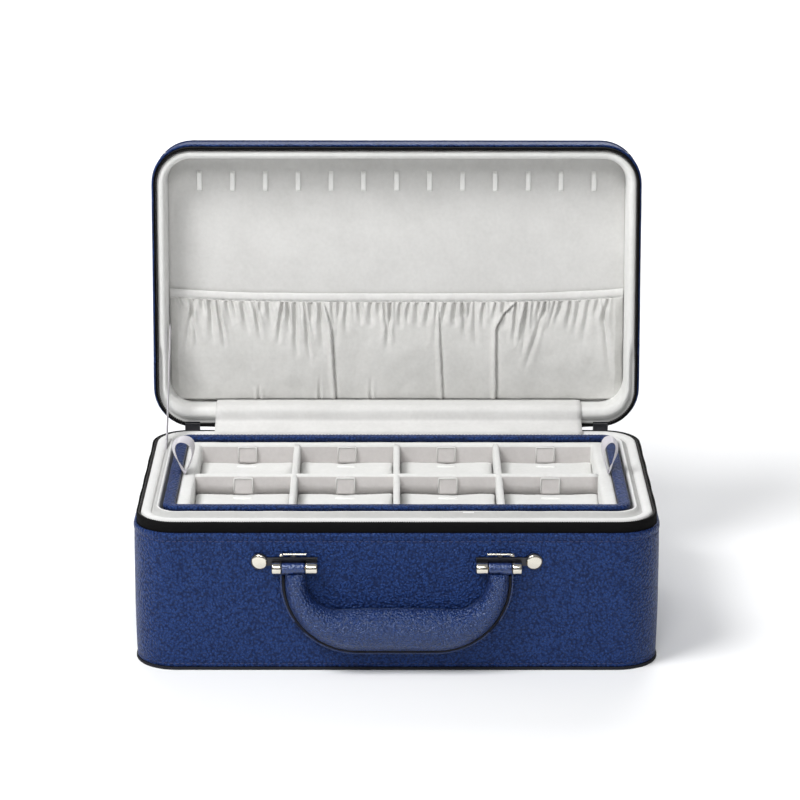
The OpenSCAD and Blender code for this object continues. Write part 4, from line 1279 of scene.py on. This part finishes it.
def cushions():
    """Eight cell cushions from one puffed form, each a little different and lying in its own cell."""
    a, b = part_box("cell_cushion_1")
    half_w, half_d, height = (b.x - a.x) / 2, (b.y - a.y) / 2, b.z - a.z
    verts, faces = crowned_block(half_w - 0.4 * MM, half_d - 0.4 * MM, height - 0.6 * MM, 2.2 * MM)
    verts, faces = puffed(verts, faces, 1.9 * MM, 5.0, 2.2 * MM)
    for i in range(1, 9):
        a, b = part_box(f"cell_cushion_{i}")
        middle = (a + b) / 2
        shape = verts.copy()
        if i % 2:
            shape[:, 0] *= -1
        if i % 3 == 0:
            shape[:, 1] *= -1
        u, v = np.abs(shape[:, 0]) / half_w, np.abs(shape[:, 1]) / half_d
        square = (u**9 + v**9) ** (1 / 9) / np.maximum(np.maximum(u, v), 1e-6)
        shape[:, :2] *= (1.02 * square)[:, None]
        near = np.minimum(half_w - np.abs(shape[:, 0]), half_d - np.abs(shape[:, 1]))
        crown = 0.7 * MM * (1 - np.exp(-np.maximum(near, 0) / (3 * MM)))
        upper = shape[:, 2] > height * 0.5
        shape[:, 2] += upper * (crown + ripple(shape + [i * 0.2, 0, 0], 0.5 * MM, 0.014, i))
        shape[:, 0] = np.clip(shape[:, 0], -half_w, half_w) + middle.x
        shape[:, 1] = np.clip(shape[:, 1], -half_d, half_d) + middle.y
        shape[:, 2] = np.clip(shape[:, 2], 0, height + 0.6 * MM) + a.z
        pad = piece(f"cushion_{i}", shape, faces, WHITE, "tray", [f"cell_cushion_{i}"], "white_lining")
        smooth = pad.modifiers.new("subdivision", "SUBSURF")
        smooth.levels = smooth.render_levels = 1


def rounded_tab(x, y, z0, width, thick, height, bulge):
    """A folded fabric tab: a rounded slab, fuller in its middle."""
    rings = []
    for share in (0.0, 0.12, 0.3, 0.6, 0.85, 0.95, 1.0):
        z = z0 + height * share
        tip = 1.0 if share < 0.85 else (0.9 if share < 1 else 0.45)
        half_w, half_t = width / 2 * (1 if share < 0.95 else 0.97), thick / 2 * tip
        row = []
        for k in range(20):
            a = 2 * math.pi * k / 20
            c, s = math.cos(a), math.sin(a)
            px = half_w * math.copysign(abs(c) ** 0.25, c)
            py = half_t * math.copysign(abs(s) ** 0.6, s) * (1 + bulge * (1 - (px / half_w) ** 2))
            row.append((x + px, y + py, z))
        rings.append(row)
    return loft(rings, caps=True)


def cell_tabs():
    """The finger tabs on the cells' back walls and the tab ends on the cushions."""
    back, floor_parts, edge = [], [], []
    tab_low, tab_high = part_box("cell_back_tabs")
    height = tab_high.z - tab_low.z
    width, thick = 11.4 * MM, 1.7 * MM
    for i in range(1, 9):
        a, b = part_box(f"cell_cushion_{i}")
        x = (a.x + b.x) / 2
        wobble = 0.5 * MM * noise.noise(Vector((i * 1.7, 2, 0)))
        back.append(rounded_tab(x + wobble, b.y - thick / 2 + 0.1 * MM, tab_low.z - 1 * MM, width,
            thick, height + 1 * MM, 0.15))
        rail = 0.42 * MM
        z1 = tab_low.z + height - 0.3 * MM
        left, right = x + wobble - width / 2 + 0.2 * MM, x + wobble + width / 2 - 0.2 * MM
        y = b.y - thick + 0.05 * MM
        line = fillet([(left, tab_low.z), (left, z1), (right, z1), (right, tab_low.z)],
            [1.1 * MM, 1.1 * MM])
        edge.append(tube([(px, y, pz) for px, pz in line], rail, 6))
        depth = (b.y - a.y) / 4 + 0.1 * MM
        y = (a.y + b.y) / 2 + depth
        floor_parts.append(rounded_tab(x + wobble, y, b.z - 0.6 * MM, width, 2.6 * MM, 1.7 * MM, 0.2))
    # the tabs on the back walls take the walls' painted shade
    piece("cell_back_tab_cloth", *merge(back), WALL_SHADE, "tray", ["cell_back_tabs"], "grey_lining")
    piece("cell_tab_piping", *merge(edge), WHITE, "tray", slot="white_lining")
    piece("cell_floor_tab_cloth", *merge(floor_parts), LOOP, "tray", ["cell_floor_tabs"], "grey_lining")


def pull_loop(name, node, side, half_w):
    """Satin ribbon folded into a standing teardrop."""
    a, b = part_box(node)
    x = (a.x + b.x) / 2
    foot, top = LINER_HIGH.z + 1.2 * MM, b.z - 2.5 * MM
    height = top - foot
    line, across = [], []
    count = 48
    for k in range(count + 1):
        t = 2 * math.pi * k / count
        rise = (1 - math.cos(t)) / 2
        wide = half_w * math.sin(t) * (0.25 + 0.75 * rise) * 1.25
        lean = 1.2 * MM * rise * side
        line.append((x - wide * side + lean, (a.y + b.y) / 2 + 0.5 * MM * math.sin(t),
            foot + height * rise))
        turn = (0.3 + 0.14 * math.sin(3 * t)) * math.sqrt(rise)
        out = np.array([-math.sin(t) * side, 0, -0.5 * math.cos(t)])
        out /= np.linalg.norm(out)
        across.append(out * math.sin(turn) + np.array([0, math.cos(turn), 0]))
    across = np.array(across)
    verts, faces = ribbon(line, across, 3.3 * MM, 0.5 * MM)
    piece(name, verts, faces, SATIN, "tray", [node], "ribbon")


# ---------- handle and metal ----------


def arc_points(cx, cz, r, start, end, count):
    out = []
    for k in range(count + 1):
        a = math.radians(start + (end - start) * k / count)
        out.append((cx + r * math.cos(a), cz + r * math.sin(a)))
    return out


ARM, GRIP, OUT_R, IN_R = 15 * MM, 27 * MM, 44 * MM, 18 * MM
N_ARM, N_BEND, N_GRIP = 6, 24, 26


def handle_line(inset, inner, top):
    """The handle's outer or inner outline at an inset, from its left end down and round to its right end."""
    a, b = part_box("handle_strap")
    swell = 0.8 * MM
    if inner:
        half, foot, r = b.x - ARM + inset, a.z + GRIP - inset, IN_R + inset
    else:
        half, foot, r = b.x - inset, a.z + inset, OUT_R - inset
    line = [(-half, top + (foot + r - top) * k / N_ARM) for k in range(N_ARM)]
    line += arc_points(-half + r, foot + r, r, 180, 270, N_BEND)[:-1]
    for k in range(N_GRIP):
        rise = swell * math.sin(math.pi * k / N_GRIP) if inner else 0
        line.append((-half + r + 2 * (half - r) * k / N_GRIP, foot + rise))
    line += arc_points(half - r, foot + r, r, 270, 360, N_BEND)
    line += [(half, foot + r + (top - foot - r) * k / N_ARM) for k in range(1, N_ARM + 1)]
    return line


def grip_shape(edge, inner_edge, top, back, depth_share, across):
    """A rounded pad between the handle's outlines: flat behind, full in front, thinner up the arms."""
    outer, inner = handle_line(edge, False, top), handle_line(inner_edge, True, top)
    full = (back - low("handle_cover").y) * depth_share
    total = len(outer)
    rings = []
    for k in range(total):
        from_end = min(k, total - 1 - k)
        share = min(1.0, from_end / (N_ARM + N_BEND * 0.8))
        depth = full * (0.46 + 0.54 * share**0.8)
        depth *= 0.55 + 0.45 * min(1.0, from_end / 2.0)
        row = []
        for j in range(across + 1):
            t = 0.5 - 0.5 * math.cos(math.pi * j / across)
            u = abs(2 * t - 1)
            y = back - depth * (1 - u**2.5) ** 0.55
            (ox, oz), (ix, iz) = outer[k], inner[k]
            row.append((ox + (ix - ox) * t, y, oz + (iz - oz) * t))
        row += [(row[-1][0], back + 0.2 * MM, row[-1][2]), (row[0][0], back + 0.2 * MM, row[0][2])]
        rings.append(row)
    return loft(rings, caps=True)


def handle():
    """Leather pulled over a foam pad and set in a groove on the handle's strap, and the strap's two loops."""
    strap_low, strap_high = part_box("handle_strap")
    cover_high = high("handle_cover")
    pivot = JOINTS["handle_swing"]["pos_m"]
    verts, faces = grip_shape(2.5 * MM, 0.5 * MM, cover_high.z + 1.6 * MM, cover_high.y, 1.0, 30)
    front_side = verts[:, 1] < cover_high.y - 1 * MM
    verts[:, 1] += ripple(verts, 0.22 * MM, 0.007, 20) * front_side
    cover = piece("handle_leather_cover", verts, faces, GRIP_BLUE, "handle", ["handle_cover"],
        "blue_leather")
    foam = grip_shape(3.6 * MM, 2.4 * MM, cover_high.z - 2 * MM, cover_high.y, 0.7, 16)
    core = piece("handle_foam_core", *foam, FELT, "handle", ["handle_filler"], "handle_foam")
    # strap: a flat leather shape with round edges, and a rolled edge outside the groove
    back, front = strap_high.y, cover_high.y
    top = pivot[2] - 1.5 * MM
    outer, inner = handle_line(0.0, False, top), handle_line(0.0, True, top)
    rings = []
    for (ox, oz), (ix, iz) in zip(outer, inner):
        row = []
        for t, y in ((0.0, 0.35), (0.0, 0.7), (0.03, 1.0), (0.97, 1.0), (1.0, 0.7), (1.0, 0.3),
                (0.97, 0.0), (0.03, 0.0)):
            row.append((ox + (ix - ox) * t, back + (front - back) * y, oz + (iz - oz) * t))
        rings.append(row)
    parts = [loft(rings, caps=True)]
    for side in (-1, 1):
        middle = side * (strap_high.x - ARM / 2)
        half = ARM / 2 - 0.9 * MM
        r = (strap_high.z - pivot[2]) / MM
        profile = [(1.35, -1), (2.7, -1), (r - 0.1, -0.95), (r, -0.88)]
        profile += [(r, -0.88 + 1.76 * k / 16) for k in range(1, 17)]
        profile += [(r - 0.1, 0.95), (2.7, 1), (1.35, 1)]
        rows = []
        for size, u in profile:
            row = []
            for k in range(28):
                a = 2 * math.pi * k / 28
                crease = 0.16 * MM * noise.noise(Vector((u * 9 * side, math.cos(a) * 0.6,
                    math.sin(a) * 0.6)))
                q = size * MM + (crease - 0.1 * MM if size > 2.8 else 0)
                row.append((middle + half * u, pivot[1] + q * math.cos(a), pivot[2] + q * math.sin(a)))
            rows.append(row)
        parts.append(loft(rows, close=True))
    edge = [(x, cover_high.y + 0.05 * MM, z) for x, z in handle_line(0.45 * MM, False, top)]
    parts.append(tube(edge, 0.5 * MM, 8))
    strap = piece("handle_strap_leather", *merge(parts), LOOP_BLUE, "handle", ["handle_strap"],
        "dark_leather")

    # the strap's edges round the top of the handle's opening take the darker leather: painted shade above the
    # grip
    def shaded_inner_side(at, way):
        return at.z < top and at.z > strap_low.z + GRIP / 2 and abs(at.x) < strap_high.x - ARM / 2

    paint(strap, DARK_BLUE_AND_SHADE, shaded_inner_side)
    # a near-black cord along the groove: partly edge paint, partly painted shade of the gap between cover and
    # strap
    line = handle_line(1.75 * MM, False, cover_high.z - 1 * MM)
    groove = [(x, cover_high.y - 0.2 * MM, z) for x, z in line]
    piece("handle_groove_thread", *tube(groove, 0.85 * MM, 8), EDGE_PAINT_AND_SHADE, "handle", slot="dark_leather")


def lathe_y(profile, x, z):
    """A turned shape about a line along Y: profile is (radius, y)."""
    turn = [2 * math.pi * k / 28 for k in range(28)]
    rings = []
    for r, y in profile:
        rings.append([(x + r * math.cos(a), y, z + r * math.sin(a)) for a in turn])
    return loft(rings, caps=True)


def rivets():
    """Domed caps at the brackets' outer ends and small round heads above the knuckles, with their shanks."""
    end_y = high("bracket_rivets").y
    plate_y = -HALF_D - 1.2 * MM
    cap_x = high("bracket_right").x - 4.8 * MM
    cap_z = JOINTS["handle_swing"]["pos_m"][2] + 2.7 * MM
    head_x = high("handle_strap").x - 7.5 * MM
    head_z = JOINTS["handle_swing"]["pos_m"][2] + 5.9 * MM
    parts = []
    for side in (-1, 1):
        dome = [(0.1, -1.32), (1.4, -1.3), (2.8, -1.22), (3.7, -1.05), (4.3, -0.7), (4.55, -0.2),
            (4.4, 0.05), (1.39, 0.1)]
        profile = [(r * MM, plate_y + y * MM) for r, y in dome] + [(1.39 * MM, end_y), (0.3 * MM, end_y)]
        verts, faces = lathe_y(profile, side * cap_x, cap_z)
        tilt = (verts[:, 0] - side * cap_x) * side * 0.16 + (verts[:, 2] - cap_z) * -0.1
        verts[:, 1] += np.where(verts[:, 1] < plate_y - 0.15 * MM, tilt, 0)
        parts.append((verts, faces))
        dome = [(0.2, -0.06), (0.9, -0.05), (1.3, 0.0), (1.39, 0.1)]
        profile = [(r * MM, plate_y + y * MM) for r, y in dome] + [(1.39 * MM, end_y), (0.3 * MM, end_y)]
        parts.append(lathe_y(profile, side * head_x, head_z))
    heads = piece("bracket_rivet_heads", *merge(parts), NICKEL, "base", ["bracket_rivets"], "nickel")
    # the small heads on the bracket plates are dark like the plates: painted shade
    paint(heads, BLACKENED_AND_SHADED_NICKEL, lambda at, way: abs(at.x) < head_x + 2 * MM)


def knuckles():
    """Bright sleeves of the brackets' knuckles and the folded edge above each loop."""
    pivot = JOINTS["handle_swing"]["pos_m"]
    parts = []
    for side in (-1, 1):
        for x0, x1 in ((65.4, 70.6), (45.0, 51.6)):
            rows = []
            sleeve = [(1.3, x0), (2.9, x0), (3.3, x0 + 0.15), (3.36, x0 + 0.5)]
            sleeve += [(3.36, x1 - 0.5), (3.3, x1 - 0.15), (2.9, x1), (1.3, x1)]
            for size, x in sleeve:
                row = []
                for k in range(32):
                    a = 2 * math.pi * k / 32
                    row.append((side * x * MM, pivot[1] + size * MM * math.cos(a),
                        pivot[2] + size * MM * math.sin(a)))
                rows.append(row)
            parts.append(loft(rows, close=True))
        z = high("bracket_right").z - 0.15 * MM
        y = -HALF_D - 1.9 * MM
        section = [(0.0, 0.5), (-0.35, 0.5), (-0.85, -0.35), (-0.5, -0.5), (0.0, -0.5)]
        rows = []
        for x in (51.2, 51.25, 51.4, 55, 58, 62, 66.0, 66.15, 66.2):
            rows.append([(side * x * MM, -HALF_D - 1.2 * MM + a * MM, z + b * MM) for a, b in section])
        parts.append(loft(rows, caps=True))
        block = [(side * x * MM, y, z - 0.5 * MM) for x in np.linspace(64.2, 66.4, 3)]
        parts.append(tube(block, 0.9 * MM, 8))
    piece("bracket_knuckle_sleeves", *merge(parts), NICKEL, "base", slot="nickel")


def dress(node, material, bevel):
    """Gives a CAD node its material, and rounds its edges a little."""
    obj = frame["nodes"][node]
    if not obj.material_slots:
        obj.data.materials.append(material)
    for holder in obj.material_slots:
        holder.material = material
    if bevel:
        weld = obj.modifiers.new("weld", "WELD")
        weld.merge_threshold = 0.00001
        rounding = obj.modifiers.new("bevel", "BEVEL")
        rounding.width = bevel
        rounding.segments = 3
        rounding.limit_method = "ANGLE"
        rounding.angle_limit = math.radians(35)
        rounding.harden_normals = True


def hardware():
    """Materials and softened edges for the CAD nodes that stay as they are."""
    # the bracket plates get the dark nickel: painted shade and dark reflection
    for node in ("bracket_left", "bracket_right"):
        dress(node, BLACKENED_AND_SHADED_NICKEL, 0.35 * MM)
    for node in ("slider_left", "slider_right", "pull_tab_left", "pull_tab_right"):
        dress(node, BLACKENED_AND_SHADED_NICKEL, 0.15 * MM)
    for node in ("rivet_washers", "zip_end_stops"):
        dress(node, NICKEL, 0.12 * MM)
    for node in ("bracket_pin_left", "bracket_pin_right"):
        dress(node, BRASS, 0.15 * MM)
    for node in ("base_board", "lid_board", "tray_board"):
        dress(node, BOARD, 0.0)
    dress("tray_bottom_cover", PANEL, 0.0)


base_shell()
base_bottom()
base_rims()
lower_compartment()
zips()
lid_shell()
lid_lining()
necklace_loops()
pocket()
hinge_pieces()
stay_ribbon()
tray_shell()
tray_lining()
divider("long_divider_pad", "long_divider", True)
for side in ("left", "middle", "right"):
    divider(f"cross_divider_{side}_pad", f"cross_divider_{side}", False)
cushions()
cell_tabs()
pull_loop("pull_ribbon_left_satin", "pull_ribbon_left", -1, 6.4 * MM)
pull_loop("pull_ribbon_right_satin", "pull_ribbon_right", 1, 4.6 * MM)
handle()
rivets()
knuckles()
hardware()
